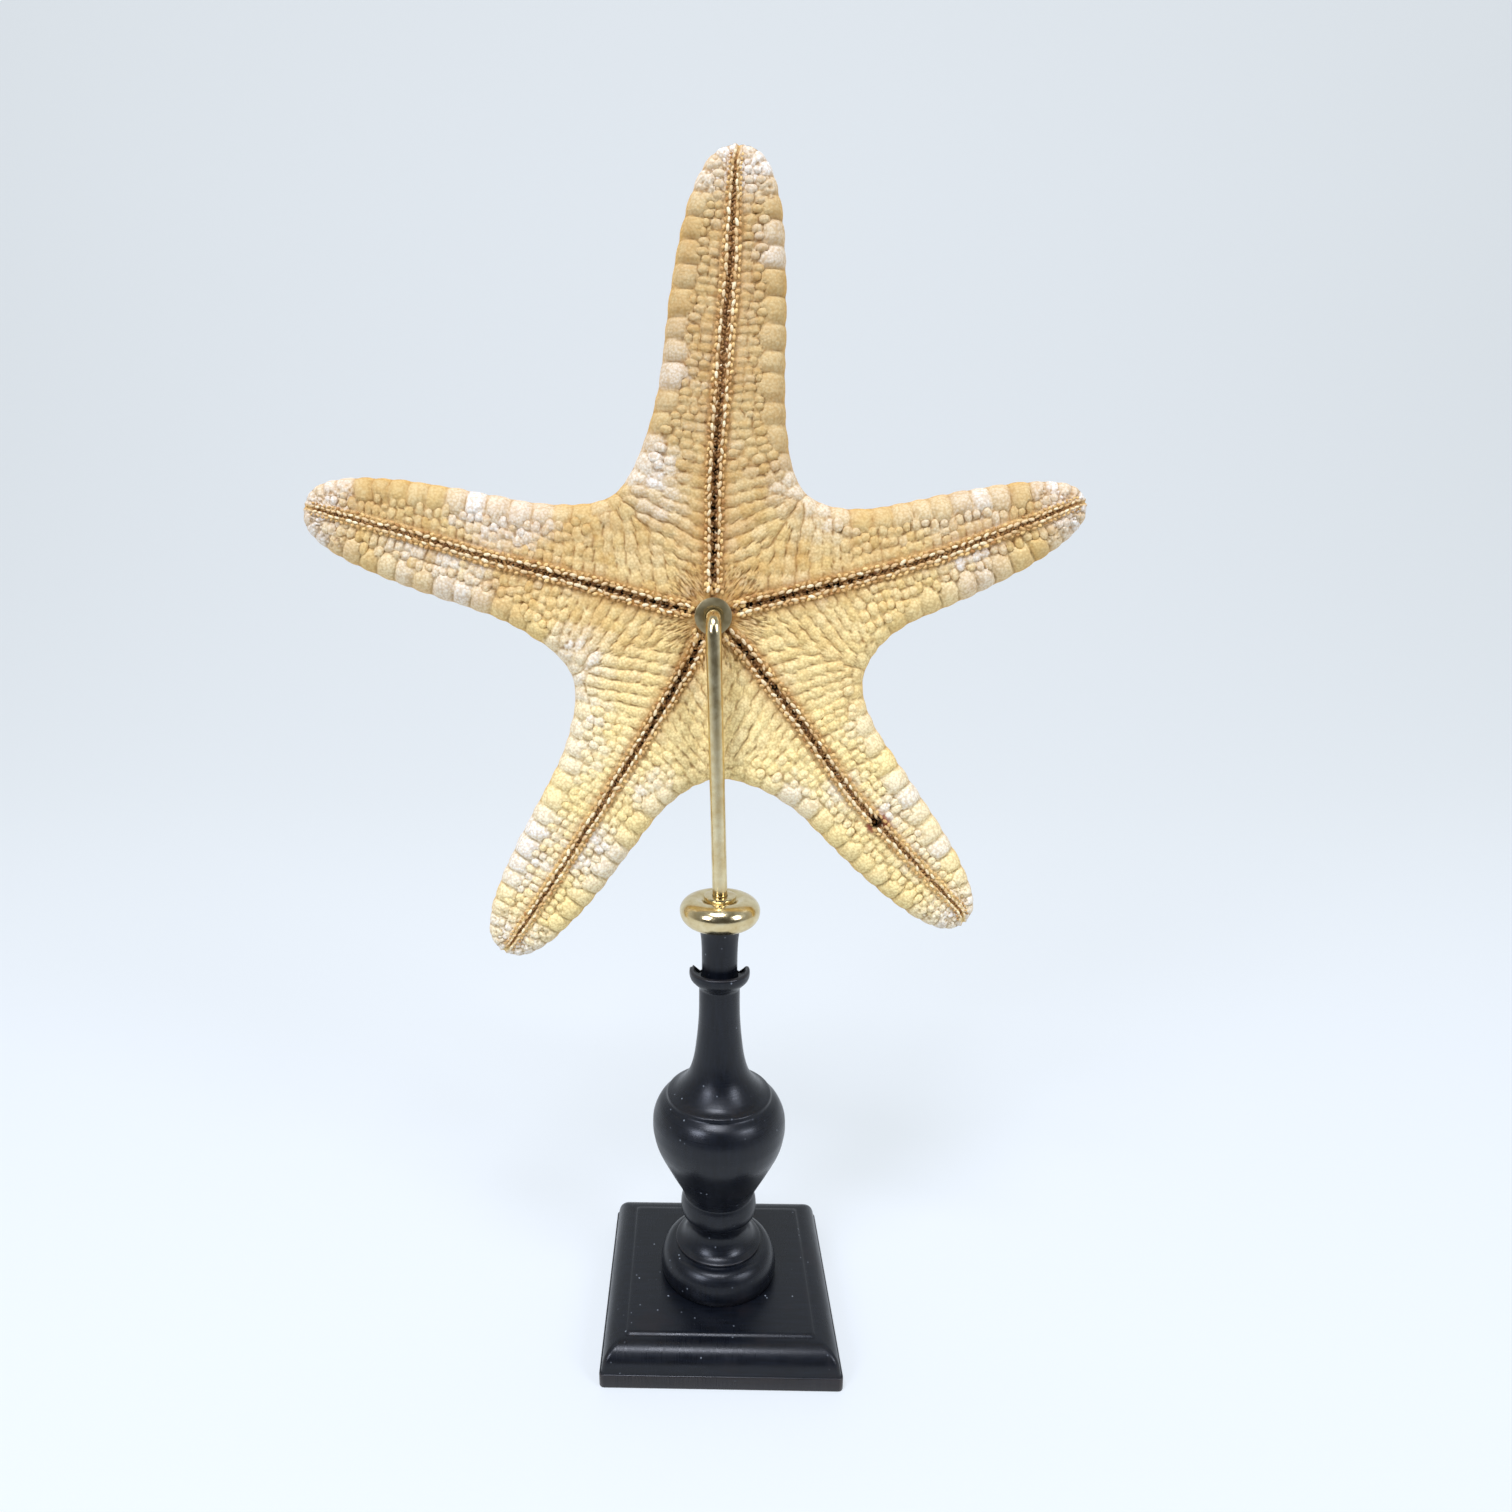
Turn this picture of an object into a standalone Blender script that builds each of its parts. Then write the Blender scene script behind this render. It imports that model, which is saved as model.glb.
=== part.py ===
"""A dried starfish on a turned stand.

The starfish stands upright with its underside to the front (-Y). A bent brass rod plugs into its mouth and
carries it over an ebonised turned column on a square moulded plinth. Metres, +Z up, origin at the middle of
the plinth's underside.
"""

import math

import bmesh
import bpy
from mathutils import Vector
from mathutils.kdtree import KDTree

MM = 0.001
GAP = 0.3 * MM  # left between pieces that touch

# Plinth: a square block with a moulded edge
PLINTH_SIDE = 80.0 * MM
PLINTH_HEIGHT = 13.5 * MM
PLINTH_FILLET = 5.0 * MM  # height of the upright band at the bottom
PLINTH_CORNER = 1.6 * MM  # rounding of the corners seen from above
PLINTH_EASE = 0.5 * MM  # the softened arrises of that band
PANEL_SIDE = 62.0 * MM  # square panel on top, inside the moulding
TENON_RADIUS = 5.0 * MM
TENON_LENGTH = 7.0 * MM

# Column: one turned piece, sizes from the plinth's top upwards
COLUMN_TOP = 145.6 * MM
FOOT_RADIUS = 20.7 * MM  # of the cushion that stands on the plinth
FOOT_STEP_RADIUS = 15.2 * MM  # of the step turned into the cushion's top
FOOT_WIDEST = 16.0 * MM
FOOT_RISE = 8.9 * MM  # from the cushion's widest place to the step
BULB_RADIUS = 23.25 * MM
COLLAR_RADIUS = 10.15 * MM
NECK_RADIUS = 6.1 * MM
COLUMN_SEGMENTS = 24

# Brass: rod, knob on the column, two washers
ROD_RADIUS = 2.5 * MM
ROD_BORE = ROD_RADIUS + 0.4 * MM
ROD_BEND = 5.5 * MM  # radius of the bend at the middle of the rod
ROD_FOOT = 134.0 * MM  # the rod's lower end, inside the column
ROD_LEAN_START = 156.0 * MM
KNOB_RADIUS = 13.5 * MM
KNOB_MIDDLE = 151.2 * MM
KNOB_TOP_SHARE = 0.86  # the ring's upper half is a little flatter than its lower half
KNOB_DISH = 2.4 * MM  # from the middle of the ring in to the edge of its dished top
COLLET_RADIUS = 5.45 * MM  # small washer on top of the knob
COLLET_FOOT = 154.8 * MM
COLLET_HEIGHT = 1.2 * MM
DISC_RADIUS = 6.05 * MM  # flat washer against the starfish's mouth
DISC_THICKNESS = 1.4 * MM
BRASS_SEGMENTS = 20

# Starfish: the mouth's place, then its arms and the inner corners between them
MOUTH = Vector((-2.4 * MM, 9.0 * MM, 248.3 * MM))
STAR_TILT = math.radians(2.0)  # the top leans away from the front
MOUTH_RADIUS = 3.4 * MM
MOUTH_DEPTH = 7.0 * MM
SEAT_RADIUS = 6.6 * MM  # worn flat round the mouth, where the washer bears
ARMS = (  # degrees clockwise from the top, length, sideways bow, half width run back to the mouth, taper of that
    (3.1, 140.4 * MM, -1.1 * MM, 24.6 * MM, 9.0 * MM),
    (73.4, 123.2 * MM, 1.7 * MM, 25.9 * MM, 13.3 * MM),
    (140.6, 135.7 * MM, 1.0 * MM, 24.6 * MM, 11.4 * MM),
    (212.2, 136.7 * MM, -0.9 * MM, 23.7 * MM, 9.3 * MM),
    (285.1, 137.1 * MM, 0.5 * MM, 24.2 * MM, 9.5 * MM),
)
NOTCHES = (  # the inner corner after each arm: degrees clockwise from the top, distance from the mouth
    (38.4, 49.0 * MM),
    (109.6, 53.8 * MM),
    (177.8, 55.0 * MM),
    (247.8, 51.1 * MM),
    (321.5, 50.6 * MM),
)
TIP_LENGTH = 53.8 * MM  # the rounded last stretch of an arm
TIP_POWER = 2.9
NOTCH_END = 0.54  # share of the arm's length where the notch's curve ends
NOTCH_PULL = 9.5 * MM  # reach of that curve's handles
RIM_DEPTH = 7.0 * MM  # how far behind the underside the outline lies
RIM_ROUND = 6.5 * MM  # width of the rounded edge
BACK_ROUND = 5.0 * MM
BACK_RISE = 17.0 * MM  # how far the disc's back swells beyond the rounded edge
BACK_REACH = 20.0 * MM  # the swelling is two thirds complete this far in from the edge
TIP_THINNING = 0.36  # how much thinner the body is at the end of the longest arm
GROOVE_HALF = 1.7 * MM
GROOVE_DEPTH = 3.0 * MM
SPINE_BAND = 3.4 * MM  # from the groove's middle to the outer side of its row of short spines
SPINE_RISE = 0.7 * MM
PLATE_CREST = 3.6 * MM  # from the outline to the crest of the edge plates
PLATE_INNER = 7.4 * MM
PLATE_RISE = 1.1 * MM
PLATE_BULGE = 0.7 * MM
RIDGE_RISE = 0.45 * MM
KNOB_RISE = 4.6 * MM  # of the biggest blunt knob on the back
SLENDER = 14.0 * MM  # the relief fades where an arm's half width is less than this
MIDDLE_FADE = 20.0 * MM  # the groove and the back's knobs grow to full size over this reach from the mouth
DISC_SHARE = 0.72  # rows up to this share of the notches' distance end on the disc's dividing lines
DISC_SPREAD = 1.25  # above 1 sets those rows' outer ends closer together towards the notch
DISC_ROWS = 8
ARM_ROWS = 24


def material(name, colour, roughness, metallic=0.0):
    """A Principled material of one colour, given as linear red, green and blue."""
    made = bpy.data.materials.new(name)
    made.use_nodes = True
    shader = made.node_tree.nodes["Principled BSDF"]
    shader.inputs["Base Color"].default_value = (*colour, 1.0)
    shader.inputs["Roughness"].default_value = roughness
    shader.inputs["Metallic"].default_value = metallic
    return made


def finish(name, mesh_data, look, sharp_degrees=35.0):
    """Turns a bmesh into a named object, outward faces, smooth but for its sharp edges."""
    bmesh.ops.recalc_face_normals(mesh_data, faces=mesh_data.faces)
    mesh = bpy.data.meshes.new(name)
    mesh_data.to_mesh(mesh)
    mesh_data.free()
    mesh.shade_smooth()
    mesh.set_sharp_from_angle(angle=math.radians(sharp_degrees))
    mesh.materials.append(look)
    made = bpy.data.objects.new(name, mesh)
    bpy.context.scene.collection.objects.link(made)
    return made


def turned(name, profile, segments, look, ring=False):
    """Spins a profile of (radius, height) points about Z. A ring's profile is a closed loop off the axis."""
    shape = bmesh.new()
    points = [shape.verts.new((radius, 0.0, height)) for radius, height in profile]
    edges = [shape.edges.new(pair) for pair in zip(points, points[1:])]
    if ring:
        edges.append(shape.edges.new((points[-1], points[0])))
    bmesh.ops.spin(
        shape, geom=points + edges, cent=(0, 0, 0), axis=(0, 0, 1), angle=math.tau, steps=segments, use_merge=True
    )
    bmesh.ops.remove_doubles(shape, verts=shape.verts, dist=1e-6)
    bmesh.ops.dissolve_degenerate(shape, edges=shape.edges, dist=1e-6)
    return finish(name, shape, look)


def in_mm(*points):
    """Profile points written in millimetres, as metres."""
    return [(radius * MM, height * MM) for radius, height in points]


# Plinth


def square_loop(shape, half, height, corner):
    """A square ring of vertices with three points to each rounded corner."""
    loop = []
    for quarter in range(4):
        turn = quarter * math.pi / 2
        for step in range(3):
            angle = turn + step * math.pi / 4
            x_side = 1 if quarter in (0, 3) else -1
            y_side = 1 if quarter in (0, 1) else -1
            x = x_side * (half - corner) + corner * math.cos(angle)
            y = y_side * (half - corner) + corner * math.sin(angle)
            loop.append(shape.verts.new((x, y, height)))
    return loop


def build_plinth(look):
    """Stacks square loops up the moulded edge, then sinks the tenon's hole."""
    half = PLINTH_SIDE / 2
    panel = PANEL_SIDE / 2
    top = PLINTH_HEIGHT
    rise = top - PLINTH_FILLET
    edge = PLINTH_EASE
    levels = [
        (half - edge, 0.0),
        (half, edge),
        (half, PLINTH_FILLET - edge),
        (half - edge, PLINTH_FILLET),
        (half - 2.2 * edge, PLINTH_FILLET + 0.1 * rise),
        (half - 4.0 * edge, PLINTH_FILLET + 0.36 * rise),
        (half - 6.0 * edge, PLINTH_FILLET + 0.64 * rise),
        (half - 9.0 * edge, PLINTH_FILLET + 0.83 * rise),
        (half - 13.0 * edge, PLINTH_FILLET + 0.92 * rise),
        (panel + 1.2 * edge, PLINTH_FILLET + 0.93 * rise),
        (panel, top),
    ]
    shape = bmesh.new()
    loops = [square_loop(shape, reach, height, PLINTH_CORNER) for reach, height in levels]
    for lower, upper in zip(loops, loops[1:]):
        for index in range(len(lower)):
            after = (index + 1) % len(lower)
            shape.faces.new((lower[index], lower[after], upper[after], upper[index]))
    shape.faces.new(list(reversed(loops[0])))
    shape.faces.new(loops[-1])
    plinth = finish("plinth", shape, look, 25.0)

    hole_floor = top - TENON_LENGTH - 2 * GAP
    cut_top = top + 2 * MM
    cutter_shape = bmesh.new()
    bmesh.ops.create_cone(
        cutter_shape,
        cap_ends=True,
        segments=COLUMN_SEGMENTS,
        radius1=TENON_RADIUS + GAP,
        radius2=TENON_RADIUS + GAP,
        depth=cut_top - hole_floor,
    )
    bmesh.ops.translate(cutter_shape, verts=cutter_shape.verts, vec=(0, 0, (cut_top + hole_floor) / 2))
    cutter = finish("tenon_cutter", cutter_shape, look)
    cutter.hide_render = True
    cutter.display_type = "WIRE"
    hole = plinth.modifiers.new("tenon hole", "BOOLEAN")
    hole.operation = "DIFFERENCE"
    hole.object = cutter
    return plinth


# Turned column


def column_profile():
    """The column from its tenon up to the bore for the rod, as (radius, height) points."""
    foot = PLINTH_HEIGHT + GAP
    tenon = [
        (0.0, foot - TENON_LENGTH),
        (TENON_RADIUS, foot - TENON_LENGTH),
        (TENON_RADIUS, foot),
    ]
    cushion = [(FOOT_RADIUS - 0.4 * MM, foot)]
    for degrees in (8, 34, 58, 80):
        turn = math.radians(degrees)
        radius = FOOT_STEP_RADIUS + (FOOT_RADIUS - FOOT_STEP_RADIUS) * math.cos(turn) ** 0.8
        cushion.append((radius, FOOT_WIDEST + FOOT_RISE * math.sin(turn)))
    waist = in_mm((15.1, 24.9), (15.3, 26.1), (13.1, 27.5), (11.4, 29.8), (10.6, 32.6), (11.3, 35.2))
    bead = in_mm((13.0, 37.0), (13.4, 40.5), (12.9, 43.6), (12.5, 45.0))
    bulb = in_mm((13.5, 48.0), (17.6, 55.8), (21.5, 63.8), (22.9, 69.0))
    bulb += [(BULB_RADIUS, 72.5 * MM)]
    bulb += in_mm((22.8, 76.4), (20.9, 80.6), (18.3, 83.0))
    shoulder = in_mm((18.1, 84.2), (15.0, 85.9), (11.2, 90.4), (9.1, 96.0))
    neck = in_mm((7.9, 103.5), (7.1, 113.0), (6.95, 123.5))
    collar = in_mm((8.9, 125.6)) + [(COLLAR_RADIUS, 128.3 * MM)]
    collar += in_mm((9.6, 130.4), (8.7, 129.9), (7.9, 128.4))
    plug = [
        (NECK_RADIUS, 128.0 * MM),
        (NECK_RADIUS, 139.5 * MM),
        (NECK_RADIUS + 1.3 * MM, COLUMN_TOP),
        (ROD_BORE, COLUMN_TOP),
        (ROD_BORE, ROD_FOOT - GAP),
        (0.0, ROD_FOOT - GAP),
    ]
    return tenon + cushion + waist + bead + bulb + shoulder + neck + collar + plug


# Brass fittings


def build_knob(look):
    """The flattened brass ring that caps the column, dished round its bore."""
    half = KNOB_MIDDLE - COLUMN_TOP - GAP
    ring_middle = KNOB_RADIUS - half
    profile = [(ROD_BORE, COLUMN_TOP + GAP)]
    for degrees in range(-90, 91, 22):
        turn = math.radians(degrees)
        rise = half if degrees < 0 else half * KNOB_TOP_SHARE
        profile.append((ring_middle + half * math.cos(turn), KNOB_MIDDLE + rise * math.sin(turn)))
    dish = COLLET_FOOT - GAP
    profile += [(ring_middle - KNOB_DISH, dish), (ROD_BORE, dish)]
    return turned("brass_knob", profile, BRASS_SEGMENTS, look, ring=True)


def washer_profile(radius, foot, height):
    """A flat washer with a small chamfer round its upper edge."""
    chamfer = 0.3 * MM
    return [
        (ROD_BORE, foot),
        (radius, foot),
        (radius, foot + height - chamfer),
        (radius - chamfer, foot + height),
        (ROD_BORE, foot + height),
    ]


def rod_path():
    """The middle line of the rod: up out of the column, a slight lean, then a bend back to the mouth."""
    foot = Vector((0.0, 0.0, ROD_FOOT))
    start = Vector((0.0, 0.0, ROD_LEAN_START))
    corner = Vector((MOUTH.x, 0.0, MOUTH.z))
    lean = (corner - start).normalized()
    points = [foot, start]
    steps = 6
    for step in range(steps + 1):
        turn = step / steps * math.pi / 2
        drop = ROD_BEND * (1.0 - math.sin(turn))
        back = ROD_BEND * (1.0 - math.cos(turn))
        points.append(corner - lean * drop + Vector((0.0, back, 0.0)))
    points.append(Vector((MOUTH.x, MOUTH.y + MOUTH_DEPTH - 3 * GAP, MOUTH.z)))
    return points


def build_rod(look):
    """A round bar swept along its path, with flat ends."""
    curve = bpy.data.curves.new("brass_rod", "CURVE")
    curve.dimensions = "3D"
    curve.bevel_depth = ROD_RADIUS
    curve.bevel_resolution = 2
    curve.use_fill_caps = True
    path = rod_path()
    line = curve.splines.new("POLY")
    line.points.add(len(path) - 1)
    for point, place in zip(line.points, path):
        point.co = (*place, 1.0)
    curve.materials.append(look)
    made = bpy.data.objects.new("brass_rod", curve)
    bpy.context.scene.collection.objects.link(made)
    return made


# Starfish: everything below works in its own plane, x to the right and y up from the mouth, z for depth


def heading(degrees):
    """The unit vector that many degrees clockwise from the top."""
    turn = math.radians(degrees)
    return Vector((math.sin(turn), math.cos(turn)))


def arm_frame(index):
    """An arm's direction and the direction to its right-hand side."""
    along = heading(ARMS[index][0])
    return along, Vector((along.y, -along.x))


def arm_middle(index, reach):
    """The point of an arm's middle line at this distance from the mouth."""
    along, across = arm_frame(index)
    _, length, bow, _, _ = ARMS[index]
    return along * reach + across * bow * math.sin(math.pi * min(reach / length, 1.0))


def arm_half_width(index, reach):
    """Half the width of an arm: a straight taper with a blunt round tip."""
    _, length, _, half_width, taper = ARMS[index]
    straight = half_width - taper * reach / length
    into_tip = min(max((reach - length + TIP_LENGTH) / TIP_LENGTH, 0.0), 1.0)
    return straight * (1.0 - into_tip**TIP_POWER) ** (1.0 / TIP_POWER)


def notch_of(index, side):
    """The inner corner on one side of an arm, 1 for its right and -1 for its left."""
    degrees, distance = NOTCHES[index if side > 0 else index - 1]
    return heading(degrees), distance


def arm_edge(index, side, share):
    """The outline on one side of an arm, from its notch at share 0 to the tip at share 1."""
    along, across = arm_frame(index)
    length = ARMS[index][1]
    ray, distance = notch_of(index, side)
    notch = ray * distance
    start = notch.dot(along)
    reach = start + (length - start) * share
    bend_end = NOTCH_END * length

    def straight_edge(at):
        return arm_middle(index, at) + across * side * arm_half_width(index, at)

    if reach >= bend_end:
        return straight_edge(reach)
    leaving = along - ray * along.dot(ray)
    first = notch + leaving.normalized() * NOTCH_PULL
    joining = straight_edge(bend_end)
    second = joining + (joining - straight_edge(bend_end + MM)).normalized() * NOTCH_PULL
    t = (reach - start) / (bend_end - start)
    u = 1.0 - t
    return notch * u**3 + first * 3 * u * u * t + second * 3 * u * t * t + joining * t**3


def tip_spacing(share):
    """Evenly spaced rows that close up towards the tip."""
    return 0.35 * share + 0.65 * math.sin(share * math.pi / 2)


def outline_tree():
    """All the outline's points, for distances to it."""
    steps = 80
    points = []
    for index in range(len(ARMS)):
        for side in (-1, 1):
            points += [arm_edge(index, side, tip_spacing(step / steps)) for step in range(steps + 1)]
    tree = KDTree(len(points))
    for number, point in enumerate(points):
        tree.insert((point.x, point.y, 0.0), number)
    tree.balance()
    return tree


def row_ends(index, side, row, centre):
    """Where a row of plates starts on the arm's middle line and where it ends."""
    ray, distance = notch_of(index, side)
    along, _ = arm_frame(index)
    length = ARMS[index][1]
    disc_end = DISC_SHARE * (NOTCHES[index][1] + NOTCHES[index - 1][1]) / 2
    if row <= DISC_ROWS:
        share = row / DISC_ROWS
        inner = centre + (disc_end - centre) * share
        outer = centre + (distance - centre) * (1.0 - (1.0 - share) ** DISC_SPREAD)
        return arm_middle(index, inner), ray * outer, inner
    share = tip_spacing((row - DISC_ROWS) / ARM_ROWS)
    inner = disc_end + (length - disc_end) * share
    return arm_middle(index, inner), arm_edge(index, side, share), inner


def edge_share(distance, width):
    """0 on the outline, 1 from this width inwards, along a quarter of an ellipse."""
    left = 1.0 - min(distance, width) / width
    return math.sqrt(max(1.0 - left * left, 0.0))


def thinning(flat):
    """The body gets thinner from the mouth to the tips."""
    return 1.0 - TIP_THINNING * (flat.length / ARMS[0][1]) ** 2


def middle_fade(index, reach):
    """Fades what lies on an arm's middle line at the mouth and at the tip, alike on both sides."""
    return min(1.0, reach / MIDDLE_FADE, arm_half_width(index, reach) / SLENDER)


def underside_columns(width, row, fade):
    """Distances from the groove's middle, each with the relief there, positive towards the viewer."""
    groove = min(GROOVE_HALF, 0.12 * width)
    spines = min(SPINE_BAND, 0.25 * width)
    crest = min(PLATE_CREST, 0.26 * width)
    inner = min(PLATE_INNER, 0.5 * width)
    scale = min(1.0, width / SLENDER)
    high = row % 2
    on_arm = row > DISC_ROWS
    plate = PLATE_RISE * (0.25 + 0.75 * high) if on_arm else RIDGE_RISE * high
    field = RIDGE_RISE * (high - 0.5)
    return [
        (0.0, -GROOVE_DEPTH * fade),
        (groove, 0.0),
        (spines, SPINE_RISE * scale),
        ((spines + width - inner) / 2, field * scale),
        (width - inner, -0.5 * RIDGE_RISE * scale),
        (width - crest, plate * scale),
        (width, 0.0),
    ]


def back_columns(width, row, reach_share, fade):
    """Distances from the outline inwards to the arm's back ridge, each with the relief there."""
    crest = min(PLATE_CREST, 0.26 * width)
    inner = min(1.15 * PLATE_INNER, 0.52 * width)
    high = row % 2
    knob = KNOB_RISE * (1.0 - 0.6 * reach_share) if row % 4 == 2 else 0.0
    side_knob = 0.4 * KNOB_RISE if row % 4 == 0 and row < DISC_ROWS + 0.6 * ARM_ROWS else 0.0
    edge = min(1.0, width / SLENDER)
    return [
        (0.0, 0.0),
        (crest, PLATE_RISE * (0.2 + 0.8 * high) * edge if row > DISC_ROWS else 0.0),
        (inner, -0.4 * RIDGE_RISE * edge),
        ((inner + width) / 2, side_knob * edge),
        (width, knob * fade),
    ]


def to_world(flat, depth):
    """A point of the star's plane and its depth behind the mouth, as a place in the room."""
    lean, upright = math.sin(STAR_TILT), math.cos(STAR_TILT)
    return MOUTH + Vector((flat.x, depth * upright + flat.y * lean, flat.y * upright - depth * lean))


def build_starfish(look):
    """Two sheets, underside and back, of rows that run from each arm's middle to its edge."""
    tree = outline_tree()
    shape = bmesh.new()

    def vertex(flat, relief, back, on_rim):
        distance = tree.find((flat.x, flat.y, 0.0))[2]
        if on_rim or distance < 0.02 * MM:
            distance = 0.0
        thin = thinning(flat)
        front_edge = RIM_DEPTH * thin * (1.0 - edge_share(distance, RIM_ROUND))
        if not back:
            if relief > 0.0:
                relief *= min(max((flat.length - SEAT_RADIUS) / SEAT_RADIUS, 0.0), 1.0)
            return shape.verts.new(to_world(flat, front_edge - relief))
        swell = BACK_ROUND * edge_share(distance, BACK_ROUND)
        swell += BACK_RISE * (1.0 - math.exp(-max(distance - MM, 0.0) / BACK_REACH))
        return shape.verts.new(to_world(flat, (RIM_DEPTH + swell) * thin + relief))

    def sheet(index, side, back):
        rows = []
        for row in range(DISC_ROWS + ARM_ROWS + 1):
            centre = 0.0 if back and row == 0 else MOUTH_RADIUS
            middle, end, reach = row_ends(index, side, row, centre)
            width = (end - middle).length
            fade = middle_fade(index, reach)
            if back:
                inward_columns = back_columns(width, row, reach / ARMS[index][1], fade)
                columns = [(width - inward, relief) for inward, relief in inward_columns]
            else:
                columns = underside_columns(width, row, fade)
            points = []
            for offset, relief in columns:
                flat = middle.lerp(end, offset / width if width > 0.01 * MM else 1.0)
                on_rim = row >= DISC_ROWS and (flat - end).length < 0.01 * MM
                if on_rim and width > 2 * MM:
                    flat = flat + (end - middle).normalized() * PLATE_BULGE * (row % 2) * (row > DISC_ROWS)
                points.append(vertex(flat, relief, back, on_rim))
            rows.append(points)
        for lower, upper in zip(rows, rows[1:]):
            for near in range(len(lower) - 1):
                corners = (lower[near], lower[near + 1], upper[near + 1], upper[near])
                shape.faces.new(corners)

    for arm in range(len(ARMS)):
        for arm_side in (-1, 1):
            sheet(arm, arm_side, back=False)
            sheet(arm, arm_side, back=True)
    bmesh.ops.remove_doubles(shape, verts=shape.verts, dist=0.02 * MM)
    bmesh.ops.dissolve_degenerate(shape, edges=shape.edges, dist=0.01 * MM)

    rim = [edge for edge in shape.edges if edge.is_boundary]
    grown = bmesh.ops.extrude_edge_only(shape, edges=rim)["geom"]
    floor = [part for part in grown if isinstance(part, bmesh.types.BMVert)]
    bmesh.ops.translate(shape, verts=floor, vec=(0.0, MOUTH_DEPTH, 0.0))
    hole_edges = [edge for edge in shape.edges if edge.is_boundary]
    bmesh.ops.holes_fill(shape, edges=hole_edges, sides=0)
    bmesh.ops.triangulate(shape, faces=shape.faces)
    return finish("starfish", shape, look, 60.0)


for old in list(bpy.data.objects):
    bpy.data.objects.remove(old, do_unlink=True)

black_wood = material("ebonised wood", (0.012, 0.013, 0.016), 0.32)
brass = material("polished brass", (0.72, 0.55, 0.27), 0.18, metallic=1.0)
dried_skin = material("dried starfish", (0.63, 0.47, 0.24), 0.75)

build_plinth(black_wood)
turned("turned_column", column_profile(), COLUMN_SEGMENTS, black_wood)
build_knob(brass)
collet = washer_profile(COLLET_RADIUS, COLLET_FOOT, COLLET_HEIGHT)
turned("knob_washer", collet, BRASS_SEGMENTS, brass, ring=True)
build_rod(brass)
disc = turned("mouth_washer", washer_profile(DISC_RADIUS, 0.0, DISC_THICKNESS), BRASS_SEGMENTS, brass, ring=True)
disc.location = MOUTH - Vector((0.0, GAP, 0.0))
disc.rotation_euler = (math.radians(90.0) - STAR_TILT, 0.0, 0.0)
build_starfish(dried_skin)
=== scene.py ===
"""Looks of a dried starfish shown upright on a turned black stand."""

import math

import bpy
import numpy as np
from mathutils import Matrix, Vector
from mathutils.kdtree import KDTree


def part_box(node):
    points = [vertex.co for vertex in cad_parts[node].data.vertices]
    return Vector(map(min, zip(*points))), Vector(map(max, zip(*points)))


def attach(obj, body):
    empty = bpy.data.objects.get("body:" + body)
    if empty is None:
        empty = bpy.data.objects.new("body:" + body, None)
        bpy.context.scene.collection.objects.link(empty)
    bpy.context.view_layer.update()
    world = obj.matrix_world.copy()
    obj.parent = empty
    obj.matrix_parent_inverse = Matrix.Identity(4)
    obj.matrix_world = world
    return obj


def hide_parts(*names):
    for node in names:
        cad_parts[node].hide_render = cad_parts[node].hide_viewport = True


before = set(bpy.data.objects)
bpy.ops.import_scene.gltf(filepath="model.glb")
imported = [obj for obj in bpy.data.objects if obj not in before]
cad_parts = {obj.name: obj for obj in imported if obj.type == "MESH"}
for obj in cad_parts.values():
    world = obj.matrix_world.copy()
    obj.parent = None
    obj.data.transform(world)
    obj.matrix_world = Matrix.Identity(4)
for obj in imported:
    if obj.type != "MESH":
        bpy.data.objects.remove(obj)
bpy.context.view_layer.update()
MM = 0.001


# Camera. It stands close in front of the starfish, a little above the middle and looking slightly down, which
# is why the plinth is seen well from above and the starfish almost square on.

CAMERA_PLACE = (-0.0080, -0.3011, 0.2686)
CAMERA_PITCH = 12.1  # degrees below the horizon
CAMERA_HEADING = 1.6  # degrees to the left of straight ahead
CAMERA_ROLL = -0.37
PHOTO_SIDE = 1512  # pixels
FOCAL_PIXELS = 950
CENTRE_PIXEL = 670  # column that the camera points at

camera_data = bpy.data.cameras.new("camera")
camera_data.sensor_width = 36.0
camera_data.lens = FOCAL_PIXELS / PHOTO_SIDE * camera_data.sensor_width
camera_data.shift_x = (PHOTO_SIDE / 2 - CENTRE_PIXEL) / PHOTO_SIDE
camera = bpy.data.objects.new("camera", camera_data)
camera.matrix_world = (
    Matrix.Translation(CAMERA_PLACE)
    @ Matrix.Rotation(math.radians(CAMERA_HEADING), 4, "Z")
    @ Matrix.Rotation(math.radians(90.0 - CAMERA_PITCH), 4, "X")
    @ Matrix.Rotation(math.radians(CAMERA_ROLL), 4, "Z")
)
bpy.context.scene.collection.objects.link(camera)
bpy.context.scene.camera = camera
bpy.context.scene.view_settings.view_transform = "Standard"


# Floor and light. A pale seamless sheet runs back from under the plinth and up behind the starfish, and
# glows a little so that it stays even. Soft daylight comes from all round, least from the front. A soft box
# overhead and two windows in front, left and right, draw the cool bands on the black wood.


def linear(hex_colour):
    """An sRGB colour such as "c9ae80" as linear red, green, blue and alpha."""
    channels = [int(hex_colour[start : start + 2], 16) / 255 for start in (0, 2, 4)]
    return (*[c / 12.92 if c <= 0.04045 else ((c + 0.055) / 1.055) ** 2.4 for c in channels], 1.0)


def add_node(tree, kind, settings=None, **inputs):
    """Adds a node. Settings are its properties, and an input is a value or a socket. _2 is the third input."""
    node = tree.nodes.new(kind)
    for key, value in (settings or {}).items():
        setattr(node, key, value)
    for key, value in inputs.items():
        slot = node.inputs[int(key[1:]) if key[0] == "_" else key.replace("_", " ")]
        if isinstance(value, bpy.types.NodeSocket):
            tree.links.new(value, slot)
        else:
            slot.default_value = value
    return node


def new_material(name):
    """An empty node material with its output, and a shader to fill in."""
    made = bpy.data.materials.new(name)
    made.use_nodes = True
    shader = made.node_tree.nodes["Principled BSDF"]
    return made, made.node_tree, shader


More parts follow.
